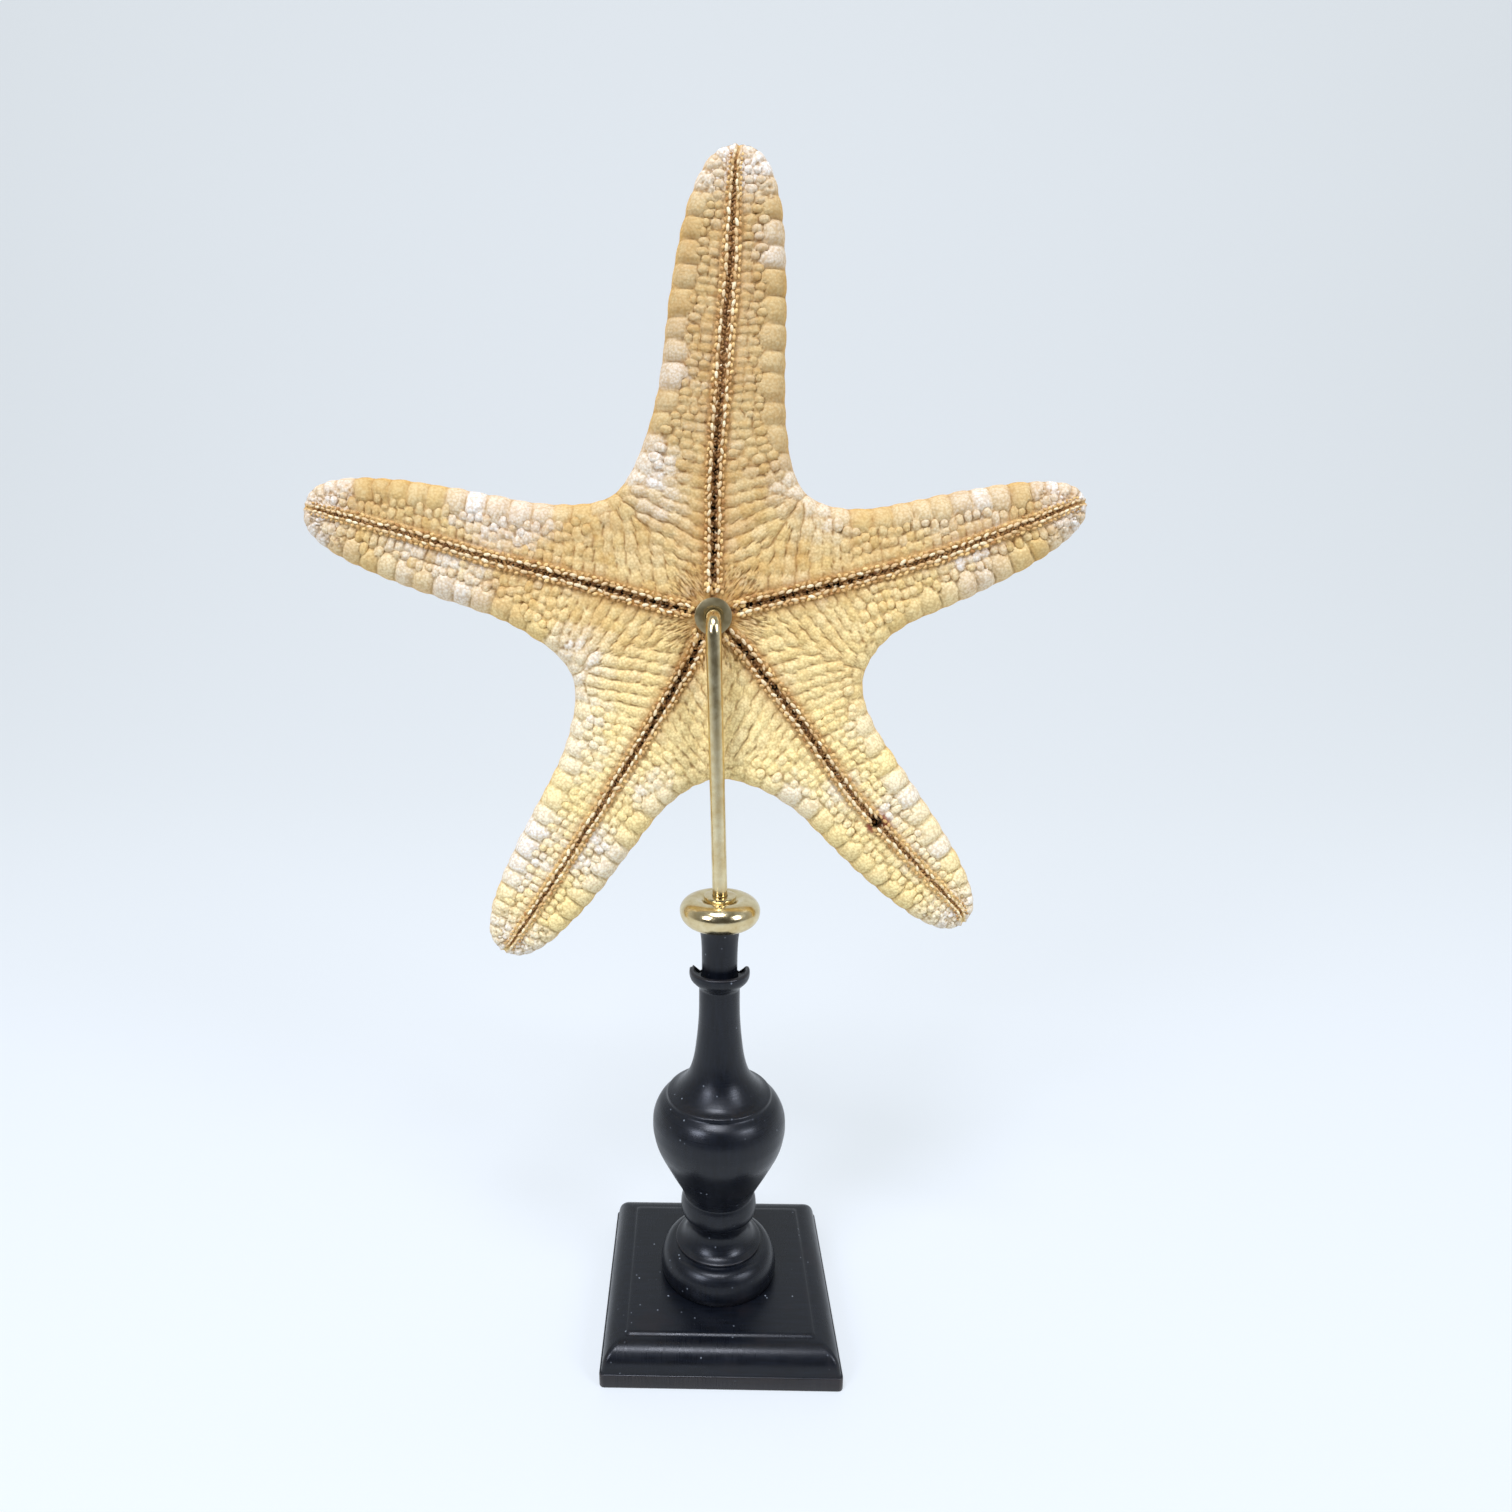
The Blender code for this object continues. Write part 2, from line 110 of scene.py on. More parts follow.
FLOOR_HALF_WIDTH = 2.4
FLOOR_FRONT = -1.2
SWEEP_START = 0.7  # where the floor begins to curve up
SWEEP_RADIUS = 0.9
WALL_TOP = 2.6

bpy.ops.object.select_all(action="DESELECT")
bpy.ops.mesh.primitive_plane_add(size=1.0, location=(0.0, 0.0, 0.0))
sweep = bpy.context.object
sweep.name = "backdrop"
SWEEP_STEPS = 24
sweep_points = [(FLOOR_FRONT, 0.0), (SWEEP_START, 0.0)]
for step in range(1, SWEEP_STEPS + 1):
    turn = step / SWEEP_STEPS * math.pi / 2
    sweep_points.append((SWEEP_START + SWEEP_RADIUS * math.sin(turn), SWEEP_RADIUS * (1.0 - math.cos(turn))))
sweep_points.append((SWEEP_START + SWEEP_RADIUS, WALL_TOP))
sweep.data.clear_geometry()
sweep_ends = [(side * FLOOR_HALF_WIDTH, y, z) for y, z in sweep_points for side in (-1, 1)]
sweep_faces = [(n, n + 1, n + 3, n + 2) for n in range(0, len(sweep_ends) - 2, 2)]
sweep.data.from_pydata(sweep_ends, [], sweep_faces)
sweep.data.shade_smooth()
# Matt white paper that glows as painted light, fully from under the plinth back and up the wall and less
# towards the front: an even pale grey that takes the soft shadow of the plinth.
paper, paper_tree, paper_shader = new_material("seamless paper, matt")
paper_shader.inputs["Base Color"].default_value = linear("8f9194")
paper_place = add_node(paper_tree, "ShaderNodeTexCoord").outputs["Object"]
paper_front = add_node(paper_tree, "ShaderNodeSeparateXYZ", _0=paper_place).outputs["Y"]
# Painted light: the paper's glow, full at the back and fading to less than half towards the front.
paper_glow = add_node(
    paper_tree,
    "ShaderNodeMapRange",
    {"interpolation_type": "SMOOTHSTEP"},
    Value=paper_front,
    From_Min=-0.85,
    From_Max=-0.25,
    To_Min=0.4,
    To_Max=1.0,
)
paper.cycles.emission_sampling = "NONE"
paper_shader.inputs["Emission Color"].default_value = linear("c2c8cc")
paper_tree.links.new(paper_glow.outputs["Result"], paper_shader.inputs["Emission Strength"])
paper_shader.inputs["Roughness"].default_value = 0.9
paper_shader.inputs["Specular IOR Level"].default_value = 0.1
sweep.data.materials.append(paper)

world = bpy.data.worlds.new("daylight")
world.use_nodes = True
sky = world.node_tree
sky_view = add_node(sky, "ShaderNodeTexCoord")
sky_height = add_node(sky, "ShaderNodeSeparateXYZ", _0=sky_view.outputs["Generated"])
sky_ramp = add_node(sky, "ShaderNodeValToRGB", _0=sky_height.outputs["Z"])
sky_ramp.color_ramp.elements[0].position = 0.0
sky_ramp.color_ramp.elements[0].color = linear("f3f6f9")
sky_ramp.color_ramp.elements[1].position = 0.9
sky_ramp.color_ramp.elements[1].color = linear("c3ccd3")
room = add_node(
    sky,
    "ShaderNodeMapRange",
    Value=sky_height.outputs["Y"],
    From_Min=-0.75,
    From_Max=0.1,
    To_Min=0.16,
    To_Max=1.0,
)
sky_shaded = add_node(sky, "ShaderNodeMix", {"data_type": "RGBA"}, _0=room.outputs["Result"])
sky_shaded.inputs[6].default_value = (0.0, 0.0, 0.0, 1.0)
sky.links.new(sky_ramp.outputs["Color"], sky_shaded.inputs[7])
# Seen directly, the room looks pale all round.
sky_seen = add_node(sky, "ShaderNodeLightPath").outputs["Is Camera Ray"]
sky_colour = add_node(
    sky,
    "ShaderNodeMix",
    {"data_type": "RGBA"},
    _0=sky_seen,
    _6=sky_shaded.outputs["Result"],
    _7=linear("f4f8fb"),
)
sky_light = sky.nodes["Background"]
sky.links.new(sky_colour.outputs["Result"], sky_light.inputs["Color"])
sky_light.inputs["Strength"].default_value = 0.7
bpy.context.scene.world = world


def soft_box(name, place, target, width, height, watts, colour):
    """A rectangular lamp at a place, turned to face a target."""
    lamp = bpy.data.lights.new(name, "AREA")
    lamp.shape = "RECTANGLE"
    lamp.size = width
    lamp.size_y = height
    lamp.energy = watts
    lamp.color = linear(colour)[:3]
    holder = bpy.data.objects.new(name, lamp)
    holder.location = place
    holder.rotation_euler = (Vector(target) - Vector(place)).to_track_quat("-Z", "Y").to_euler()
    bpy.context.scene.collection.objects.link(holder)
    return holder


STAND_MIDDLE = (0.0, 0.0, 0.16)
soft_box("skylight", (-0.12, -0.45, 1.25), STAND_MIDDLE, 0.5, 0.35, 10.0, "ebf0ff")
soft_box("left window", (-0.82, -0.95, 0.9), STAND_MIDDLE, 0.42, 0.6, 12.0, "e2eaff")
soft_box("right window", (0.98, -0.75, 0.9), STAND_MIDDLE, 0.4, 0.6, 10.0, "e6edff")
soft_box("backdrop light", (0.0, 0.55, 1.9), (0.0, 1.45, 0.75), 3.8, 0.5, 8.0, "fbf9f6")


# Plinth. A square of black stained hardwood with a moulding run along its four sides: an upright band at the
# foot, a swelling above it, a narrow flat and a raised square panel. Handling has rubbed its edges grey.


def raise_levels(levels):
    """Extrudes the selected top face through (reach, height) levels, scaling it about the upright axis."""
    for (reach, height), (next_reach, next_height) in zip(levels, levels[1:]):
        lift = {"value": (0.0, 0.0, next_height - height)}
        bpy.ops.mesh.extrude_region_move(TRANSFORM_OT_translate=lift)
        share = next_reach / reach
        bpy.ops.transform.resize(value=(share, share, 1.0), center_override=(0.0, 0.0, next_height))


def close_and_shade(piece, degrees):
    """Leaves edit mode with doubles merged, faces outwards, and smooth shading up to an angle."""
    bpy.ops.mesh.select_all(action="SELECT")
    bpy.ops.mesh.remove_doubles(threshold=0.002 * MM)
    bpy.ops.mesh.normals_make_consistent(inside=False)
    bpy.ops.object.mode_set(mode="OBJECT")
    bpy.ops.object.transform_apply(location=True, rotation=True, scale=True)
    bpy.ops.object.shade_smooth_by_angle(angle=math.radians(degrees))
    piece.data.validate()


plinth_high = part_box("plinth")[1]
PLINTH_HALF = plinth_high.x
PLINTH_TOP = plinth_high.z
BAND = 5.0 * MM  # the upright band
EASE = 0.5 * MM  # its softened arrises
PANEL_HALF = 31.0 * MM
PLINTH_CORNER = 1.6 * MM
PANEL_STEP = 0.6 * MM

plinth_levels = [(PLINTH_HALF - EASE, 0.0)]
for turn in (30, 60, 90):
    angle = math.radians(turn)
    plinth_levels.append((PLINTH_HALF - EASE + EASE * math.sin(angle), EASE - EASE * math.cos(angle)))
for turn in (0, 30, 60, 90):
    angle = math.radians(turn)
    plinth_levels.append((PLINTH_HALF - EASE + EASE * math.cos(angle), BAND - EASE + EASE * math.sin(angle)))
PANEL_FLAT = 1.6 * MM  # the narrow flat round the panel
SWELL_STEPS = 12
swell_in = PLINTH_HALF - EASE - PANEL_HALF - PANEL_FLAT
swell_up = PLINTH_TOP - BAND - PANEL_STEP
for step in range(1, SWELL_STEPS + 1):
    angle = step / SWELL_STEPS * math.pi / 2
    inward = swell_in * (1.0 - math.cos(angle)) ** 1.15
    plinth_levels.append((PLINTH_HALF - EASE - 0.2 * MM - inward, BAND + swell_up * math.sin(angle) ** 1.05))
plinth_levels += [
    (PANEL_HALF + 0.7 * MM, PLINTH_TOP - PANEL_STEP),
    (PANEL_HALF + 0.35 * MM, PLINTH_TOP - 0.2 * MM),
    (PANEL_HALF, PLINTH_TOP),
    (PANEL_HALF - 1.0 * MM, PLINTH_TOP),
]

bpy.ops.object.select_all(action="DESELECT")
bpy.ops.mesh.primitive_plane_add(size=2 * plinth_levels[0][0], location=(0.0, 0.0, 0.0))
plinth = bpy.context.object
plinth.name = "black_plinth"
bpy.ops.object.mode_set(mode="EDIT")
bpy.ops.mesh.select_all(action="SELECT")
bpy.ops.mesh.bevel(offset=PLINTH_CORNER, segments=5, affect="VERTICES")
raise_levels(plinth_levels)
close_and_shade(plinth, 50.0)


def ebonised_wood(name, turned):
    """Hardwood stained black and waxed: blue-black, satin, with fine marks, rubbed edges and dust."""
    made, tree, shader = new_material(name)
    place = add_node(tree, "ShaderNodeTexCoord").outputs["Object"]
    per_mm = 1.0 / MM
    grain_scale = (0.12, 0.12, 0.012) if turned else (0.012, 0.12, 0.12)
    mark_scale = (0.02, 0.02, 1.4) if turned else (0.9, 0.05, 0.05)
    drawn_out = []
    for stretch in (grain_scale, mark_scale):
        scale = tuple(per_mm * share for share in stretch)
        drawn_out.append(add_node(tree, "ShaderNodeMapping", Vector=place, Scale=scale).outputs["Vector"])
    grain_place, mark_place = drawn_out
    patterns = {}
    for pattern, at, scale, detail, roughness in (
        ("grain", grain_place, 8.0, 6.0, 0.62),
        ("patches", place, 0.06 * per_mm, 4.0, 0.6),
        ("marks", mark_place, 2.2, 5.0, 0.7),
        ("dusty places", place, 0.11 * per_mm, 2.0, 0.5),
    ):
        noise = add_node(tree, "ShaderNodeTexNoise", Vector=at, Scale=scale, Detail=detail)
        noise.inputs["Roughness"].default_value = roughness
        patterns[pattern] = noise.outputs["Fac"]
    dust = add_node(tree, "ShaderNodeTexVoronoi", {"feature": "F1"}, Vector=place, Scale=0.33 * per_mm)
    patterns["dust"] = dust.outputs["Distance"]
    patterns["edge"] = add_node(tree, "ShaderNodeNewGeometry").outputs["Pointiness"]
    shares = {}
    for share, source, low, high, to_low, to_high, ends in (
        ("speck", "dust", 0.14, 0.03, 0.0, 1.0, "SMOOTHSTEP"),
        ("dusty", "dusty places", 0.50, 0.62, 0.0, 1.0, "LINEAR"),
        ("rubbed", "edge", 0.52, 0.60, 0.0, 1.0, "SMOOTHSTEP"),
        ("brown", "patches", 0.58, 0.78, 0.0, 0.35, "LINEAR"),
        ("gloss", "marks", 0.3, 0.7, 0.23, 0.37, "LINEAR"),
        ("gloss patches", "patches", 0.35, 0.7, -0.04, 0.1, "LINEAR"),
    ):
        spread = add_node(
            tree,
            "ShaderNodeMapRange",
            {"interpolation_type": ends},
            Value=patterns[source],
            From_Min=low,
            From_Max=high,
            To_Min=to_low,
            To_Max=to_high,
        )
        shares[share] = spread.outputs["Result"]
    for share, operation, first, second in (
        ("specks", "MULTIPLY", shares["speck"], shares["dusty"]),
        ("worn", "MULTIPLY", shares["rubbed"], patterns["marks"]),
        ("roughness", "ADD", shares["gloss"], shares["gloss patches"]),
        ("height", "ADD", patterns["marks"], patterns["grain"]),
    ):
        result = add_node(tree, "ShaderNodeMath", {"operation": operation}, _0=first, _1=second)
        shares[share] = result.outputs["Value"]
    stain = add_node(tree, "ShaderNodeValToRGB", _0=patterns["grain"])
    stain.color_ramp.elements[0].position = 0.32
    stain.color_ramp.elements[0].color = linear("07090e")
    stain.color_ramp.elements[1].position = 0.72
    stain.color_ramp.elements[1].color = linear("11151d")
    colour = stain.outputs["Color"]
    for share, over in (("brown", "271a17"), ("worn", "6f6258"), ("specks", "8d939a")):
        settings = {"data_type": "RGBA"}
        layer = add_node(tree, "ShaderNodeMix", settings, _0=shares[share], _6=colour, _7=linear(over))
        colour = layer.outputs["Result"]
    tree.links.new(colour, shader.inputs["Base Color"])
    tree.links.new(shares["roughness"], shader.inputs["Roughness"])
    bump = add_node(tree, "ShaderNodeBump", Strength=0.16, Distance=0.1 * MM, Height=shares["height"])
    tree.links.new(bump.outputs["Normal"], shader.inputs["Normal"])
    shader.inputs["IOR"].default_value = 1.4
    return made


plinth.data.materials.append(ebonised_wood("ebonised hardwood, waxed, along the grain", turned=False))
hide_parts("plinth")
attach(plinth, "root")


# Column. One length of the same wood turned on a lathe: foot cushion, step, waist, bead, bulb with an incised
# shoulder, a long neck, a small cupped collar and the short upper neck that takes the brass knob.


def smooth_run(points, spacing=0.7):
    """Points in millimetres on a smooth curve through the given ones, about this far apart."""
    given = [np.array(p, float) for p in points]
    if len(given) < 3:
        return given
    padded = [2 * given[0] - given[1], *given, 2 * given[-1] - given[-2]]
    curve = []
    for before, start, end, after in zip(padded, padded[1:], padded[2:], padded[3:]):
        count = max(1, round(float(np.linalg.norm(end - start)) / spacing))
        for step in range(count):
            t = step / count
            lean_in = 2 * start + (end - before) * t
            ease = (2 * before - 5 * start + 4 * end - after) * t * t
            swing = (3 * start - before - 3 * end + after) * t**3
            curve.append((lean_in + ease + swing) / 2)
    return [*curve, given[-1]]


def eased_corners(runs, radius=0.3):
    """Joins runs of points, each joint rounded over by this many millimetres."""
    joined = list(runs[0][:-1])
    for run, following in zip(runs, runs[1:]):
        corner = run[-1]
        back = run[-2] - corner
        on = following[1] - corner
        reach_back = min(radius, 0.45 * float(np.linalg.norm(back)))
        reach_on = min(radius, 0.45 * float(np.linalg.norm(on)))
        first = corner + back / np.linalg.norm(back) * reach_back
        last = corner + on / np.linalg.norm(on) * reach_on
        joined += [first, (first + 2 * corner + last) / 4, last]
        joined += list(following[1:-1])
    joined.append(runs[-1][-1])
    return joined


def turn_on_lathe(name, profile, segments, ring=False):
    """Makes a turned piece from (radius, height) points in millimetres, from the foot up its outside."""
    bpy.ops.object.select_all(action="DESELECT")
    radius, height = profile[0] * MM
    fill = "NOTHING" if ring else "NGON"
    foot = (0, 0, height)
    bpy.ops.mesh.primitive_circle_add(vertices=segments, radius=radius, fill_type=fill, location=foot)
    piece = bpy.context.object
    piece.name = name
    bpy.ops.object.mode_set(mode="EDIT")
    bpy.ops.mesh.select_all(action="SELECT")
    for (reach, level), (next_reach, next_level) in zip(profile, profile[1:]):
        lift = {"value": (0.0, 0.0, (next_level - level) * MM)}
        if ring:
            bpy.ops.mesh.extrude_edges_move(TRANSFORM_OT_translate=lift)
        else:
            bpy.ops.mesh.extrude_region_move(TRANSFORM_OT_translate=lift)
        share = next_reach / reach
        bpy.ops.transform.resize(value=(share, share, 1.0), center_override=(0.0, 0.0, next_level * MM))
    close_and_shade(piece, 40.0)
    return piece


COLUMN_SEGMENTS = 96
column_foot = plinth_high.z / MM + 0.3
column_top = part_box("turned_column")[1].z / MM
foot_cushion = [(20.1, column_foot)]
for degrees in range(0, 81, 10):
    turn = math.radians(degrees)
    foot_cushion.append((15.2 + 5.5 * math.cos(turn) ** 0.8, 16.0 + 8.9 * math.sin(turn)))
bulb = [(12.4, 44.8), (13.5, 48.0), (17.6, 55.8), (21.5, 63.8), (22.9, 69.0), (23.2, 72.5), (22.8, 76.4)]
bulb += [(20.9, 80.6), (18.3, 83.0)]
long_neck = [(18.1, 84.2), (15.0, 85.9), (11.2, 90.4), (9.1, 96.0), (7.9, 103.5), (7.1, 113.0), (6.95, 123.5)]
column_runs = [
    smooth_run([(0.4, column_foot), (20.1, column_foot)]),
    smooth_run(foot_cushion),
    smooth_run([foot_cushion[-1], (15.1, 24.9)]),
    smooth_run([(15.1, 24.9), (15.3, 26.1)]),
    smooth_run([(15.3, 26.1), (13.1, 27.3), (11.4, 29.7), (10.6, 32.6), (11.1, 35.0), (11.6, 36.2)]),
    smooth_run([(11.6, 36.2), (13.0, 37.6), (13.4, 40.3), (13.0, 43.2), (12.4, 44.8)]),
    smooth_run(bulb),
    smooth_run([(18.3, 83.0), (18.1, 84.2)]),
    smooth_run(long_neck),
    smooth_run([(6.95, 123.5), (7.4, 124.3), (8.7, 125.6), (9.9, 127.0), (10.3, 128.6), (10.2, 130.0)]),
    smooth_run([(10.2, 130.0), (9.1, 130.3)]),
    smooth_run([(9.1, 130.3), (8.6, 129.0), (7.7, 128.0), (6.4, 127.7)]),
    smooth_run([(6.4, 127.7), (6.1, 128.3), (6.05, 134.0), (6.2, 139.5), (6.6, 143.2), (7.4, column_top)]),
    smooth_run([(7.4, column_top), (3.0, column_top)]),
]
column_profile = eased_corners(column_runs)
column = turn_on_lathe("black_turned_column", column_profile, COLUMN_SEGMENTS)
COLLAR_FOOT = 124.2 * MM
COLLAR_TOP = 130.6 * MM
UPPER_NECK = 6.3 * MM
BREAK_START = 2.2 * MM  # how far behind the middle the broken stretch begins
BROKEN_LIP = 7.05 * MM  # radius that the break leaves
for vertex in column.data.vertices:  # the back half of the collar's thin lip has broken away
    x, y, z = vertex.co
    reach = math.hypot(x, y)
    if COLLAR_FOOT < z < COLLAR_TOP and reach > UPPER_NECK:
        ragged = 0.35 * MM * math.sin(x / MM * 2.3) + 0.25 * MM * math.sin(x / MM * 5.1 + 1.0)
        lost = min(max((y - BREAK_START + ragged) / (0.9 * MM), 0.0), 1.0)
        lost *= min((z - COLLAR_FOOT) / (2.0 * MM), 1.0)
        kept = 1 - lost + lost * (BROKEN_LIP / reach)
        vertex.co = (x * kept, y * kept, z - lost * 0.35 * (z - COLLAR_FOOT))
column.data.materials.append(ebonised_wood("ebonised hardwood, turned and waxed", turned=True))
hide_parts("turned_column")
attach(column, "root")


# Brass. The knob on the column is a flattened turned ring with a dished top, polished and lacquered, and the
# rod is round drawn bar bent cold. A thin washer sits on the knob, and a flat duller one against the mouth.


def polished_brass(name, tarnish):
    """Yellow brass: a clean warm metal whose roughness and colour wander where it has been handled."""
    made, tree, shader = new_material(name)
    place = add_node(tree, "ShaderNodeTexCoord").outputs["Object"]
    per_mm = 1.0 / MM
    cloud = add_node(tree, "ShaderNodeTexNoise", Vector=place, Scale=0.22 * per_mm, Detail=5.0, Roughness=0.6)
    fine = add_node(tree, "ShaderNodeTexNoise", Vector=place, Scale=2.5 * per_mm, Detail=3.0, Roughness=0.7)
    colour = add_node(tree, "ShaderNodeValToRGB", _0=cloud.outputs["Fac"])
    colour.color_ramp.elements[0].position = 0.35
    colour.color_ramp.elements[0].color = linear("a8966a" if tarnish else "cbb482")
    colour.color_ramp.elements[1].position = 0.7
    colour.color_ramp.elements[1].color = linear("bcae88" if tarnish else "e6d8b0")
    tree.links.new(colour.outputs["Color"], shader.inputs["Base Color"])
    low, high = (0.28, 0.45) if tarnish else (0.13, 0.26)
    rough = add_node(
        tree,
        "ShaderNodeMapRange",
        Value=cloud.outputs["Fac"],
        From_Min=0.3,
        From_Max=0.7,
        To_Min=low,
        To_Max=high,
    )
    tree.links.new(rough.outputs["Result"], shader.inputs["Roughness"])
    bump = add_node(tree, "ShaderNodeBump", Strength=0.12, Distance=0.03 * MM, Height=fine.outputs["Fac"])
    tree.links.new(bump.outputs["Normal"], shader.inputs["Normal"])
    shader.inputs["Metallic"].default_value = 1.0
    return made


bright_brass = polished_brass("yellow brass, turned and polished", tarnish=False)
dull_brass = polished_brass("yellow brass, dulled", tarnish=True)
BRASS_SEGMENTS = 96
ROD_BORE = 2.55  # bore of the knob and the washers, closed up to the rod
KNOB_HALF = 5.3
KNOB_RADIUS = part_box("brass_knob")[1].x / MM
knob_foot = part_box("brass_knob")[0].z / MM
knob_middle = knob_foot + KNOB_HALF
knob_ring = KNOB_RADIUS - KNOB_HALF
knob_side = []
for degrees in range(-90, 91, 9):
    turn = math.radians(degrees)
    rise = KNOB_HALF * (1.0 if degrees < 0 else 0.86)
    knob_side.append((knob_ring + KNOB_HALF * math.cos(turn), knob_middle + rise * math.sin(turn)))
knob_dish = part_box("brass_knob")[1].z / MM - 1.0
knob_runs = [
    smooth_run([(ROD_BORE, knob_foot), knob_side[0]]),
    smooth_run(knob_side),
    smooth_run([knob_side[-1], (knob_ring - 1.6, knob_middle + 4.2), (knob_ring - 2.6, knob_dish)]),
    smooth_run([(knob_ring - 2.6, knob_dish), (ROD_BORE, knob_dish)]),
    smooth_run([(ROD_BORE, knob_dish), (ROD_BORE, knob_foot)]),
]
knob = turn_on_lathe("turned_brass_knob", eased_corners(knob_runs, 0.15), BRASS_SEGMENTS, ring=True)
knob.data.materials.append(bright_brass)
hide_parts("brass_knob")
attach(knob, "root")


def washer_runs(radius, foot, height):
    """A washer's section: bore, underside, rim and top."""
    return [
        smooth_run([(ROD_BORE, foot), (radius, foot)]),
        smooth_run([(radius, foot), (radius, foot + height)]),
        smooth_run([(radius, foot + height), (ROD_BORE, foot + height)]),
        smooth_run([(ROD_BORE, foot + height), (ROD_BORE, foot)]),
    ]


collet_low, collet_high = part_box("knob_washer")
collet_height = (collet_high.z - collet_low.z) / MM
collet_runs = washer_runs(collet_high.x / MM, knob_dish + 0.02, collet_height + 0.6)
collet = turn_on_lathe("thin_knob_washer", eased_corners(collet_runs, 0.4), 64, ring=True)
collet.data.materials.append(bright_brass)
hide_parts("knob_washer")
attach(collet, "root")

ROD_RADIUS = 2.5
ROD_BEND = 5.5
ROD_FOOT = 150.0  # inside the knob
ROD_LEAN_START = 156.0
ROD_IN_MOUTH = 5.0
MOUTH = np.array((-2.4, 9.0, 248.3))
STAR_TILT = math.radians(2.0)
DISC_RADIUS = 6.05
DISC_THICKNESS = 1.4

bpy.ops.object.select_all(action="DESELECT")
bpy.ops.mesh.primitive_circle_add(
    vertices=40, radius=ROD_RADIUS * MM, fill_type="NGON", location=(0, 0, ROD_FOOT * MM)
)
rod = bpy.context.object
rod.name = "bent_brass_rod"
bpy.ops.object.mode_set(mode="EDIT")
bpy.ops.mesh.select_all(action="SELECT")
bpy.ops.mesh.extrude_region_move(TRANSFORM_OT_translate={"value": (0, 0, (ROD_LEAN_START - ROD_FOOT) * MM)})
rod_run = MOUTH[2] - ROD_BEND - ROD_LEAN_START
rod_steps = 30
for step in range(rod_steps):
    along = {"value": (MOUTH[0] * MM / rod_steps, 0.0, rod_run * MM / rod_steps)}
    bpy.ops.mesh.extrude_region_move(TRANSFORM_OT_translate=along)
bend_centre = (MOUTH[0] * MM, ROD_BEND * MM, (MOUTH[2] - ROD_BEND) * MM)
bpy.ops.mesh.spin(steps=18, angle=math.radians(90.0), center=bend_centre, axis=(1.0, 0.0, 0.0))
into_mouth = {"value": (0.0, (MOUTH[1] + ROD_IN_MOUTH - ROD_BEND) * MM, 0.0)}
bpy.ops.mesh.extrude_region_move(TRANSFORM_OT_translate=into_mouth)
close_and_shade(rod, 40.0)
rod.data.materials.append(bright_brass)
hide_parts("brass_rod")
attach(rod, "root")

disc_runs = washer_runs(DISC_RADIUS, 0.0, DISC_THICKNESS)
SINK_RADIUS = 3.3  # the shallow sinking round the rod
sink_level = DISC_THICKNESS - 0.3
disc_runs[2] = smooth_run([(DISC_RADIUS, DISC_THICKNESS), (SINK_RADIUS, DISC_THICKNESS)])
disc_runs.insert(3, smooth_run([(SINK_RADIUS, DISC_THICKNESS), (SINK_RADIUS, sink_level)]))
disc_runs.insert(4, smooth_run([(SINK_RADIUS, sink_level), (ROD_BORE, sink_level)]))
disc_runs[5] = smooth_run([(ROD_BORE, sink_level), (ROD_BORE, 0.0)])
disc = turn_on_lathe("flat_mouth_washer", eased_corners(disc_runs, 0.25), 64, ring=True)
lay_flat = Matrix.Translation(Vector(MOUTH * MM) - Vector((0.0, 0.3 * MM, 0.0)))
lay_flat = lay_flat @ Matrix.Rotation(math.radians(90.0) - STAR_TILT, 4, "X")
disc.data.transform(lay_flat)
disc.data.materials.append(dull_brass)
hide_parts("mouth_washer")
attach(disc, "root")


# Starfish. One cushion star, dried whole with its underside to the front: limy plates in a granular skin.
# Pillowed plates line the arms, rows of cobbles fill them, and ridges cross the disc from each groove.
# It is worked out in millimetres from its mouth: x to the right, y up, and z for depth behind the mouth.

ARMS = (  # degrees clockwise from the top, length, sideways bow, half width run back to the mouth, its taper
    (3.1, 140.4, -1.1, 24.6, 9.0),
    (73.4, 123.2, 1.7, 25.9, 13.3),
    (140.6, 135.7, 1.0, 24.6, 11.4),
    (212.2, 136.7, -0.9, 23.7, 9.3),
    (285.1, 137.1, 0.5, 24.2, 9.5),
)
NOTCHES = ((38.4, 49.0), (109.6, 53.8), (177.8, 55.0), (247.8, 51.1), (321.5, 50.6))  # degrees, distance
WANDER_REACHES = (5.0, 15.0, 45.0, 75.0, 105.0, 132.0)
GROOVE_WANDER = (  # how far each groove strays to its clockwise side at those reaches
    (0.0, -0.4, -1.0, -0.3, 0.2, -0.8),
    (0.0, -0.5, 0.5, 1.0, 0.1, -1.5),
    (0.0, -1.4, -1.1, 0.8, -0.8, -2.3),
    (0.0, -1.2, -1.2, -1.0, -1.1, -0.7),
    (0.0, -0.8, -0.7, -1.2, -0.2, 0.1),
)
GROOVE_REACHES = (0.0, 8.0, 35.0, 62.0, 95.0, 118.0, 135.0)
GROOVE_HALVES = (
    (1.0, 1.15, 1.25, 1.4, 1.4, 1.0, 0.4),
    (1.0, 1.2, 1.1, 0.8, 0.7, 0.5, 0.4),
    (1.0, 1.2, 1.15, 0.95, 0.8, 0.6, 0.4),
    (1.0, 1.15, 1.0, 0.8, 0.7, 0.6, 0.4),
    (1.0, 1.2, 1.1, 0.9, 0.75, 0.55, 0.4),
)
TIP_LENGTH = 53.8  # stretch over which the straight taper rounds off
TIP_POWER = 2.9  # how blunt the tips are
NOTCH_END = 0.54  # share of an arm's length where the notch's curve has joined its edge
NOTCH_PULL = 9.5  # how strongly that curve keeps its direction at both ends
RIM_DEPTH = 7.0  # how far the widest line lies behind the mouth
RIM_ROUND = 6.5  # how far in from the outline the underside rounds over
BACK_ROUND = 5.0  # the same on the back
BACK_RISE = 17.0  # the domed back above its rounded rim
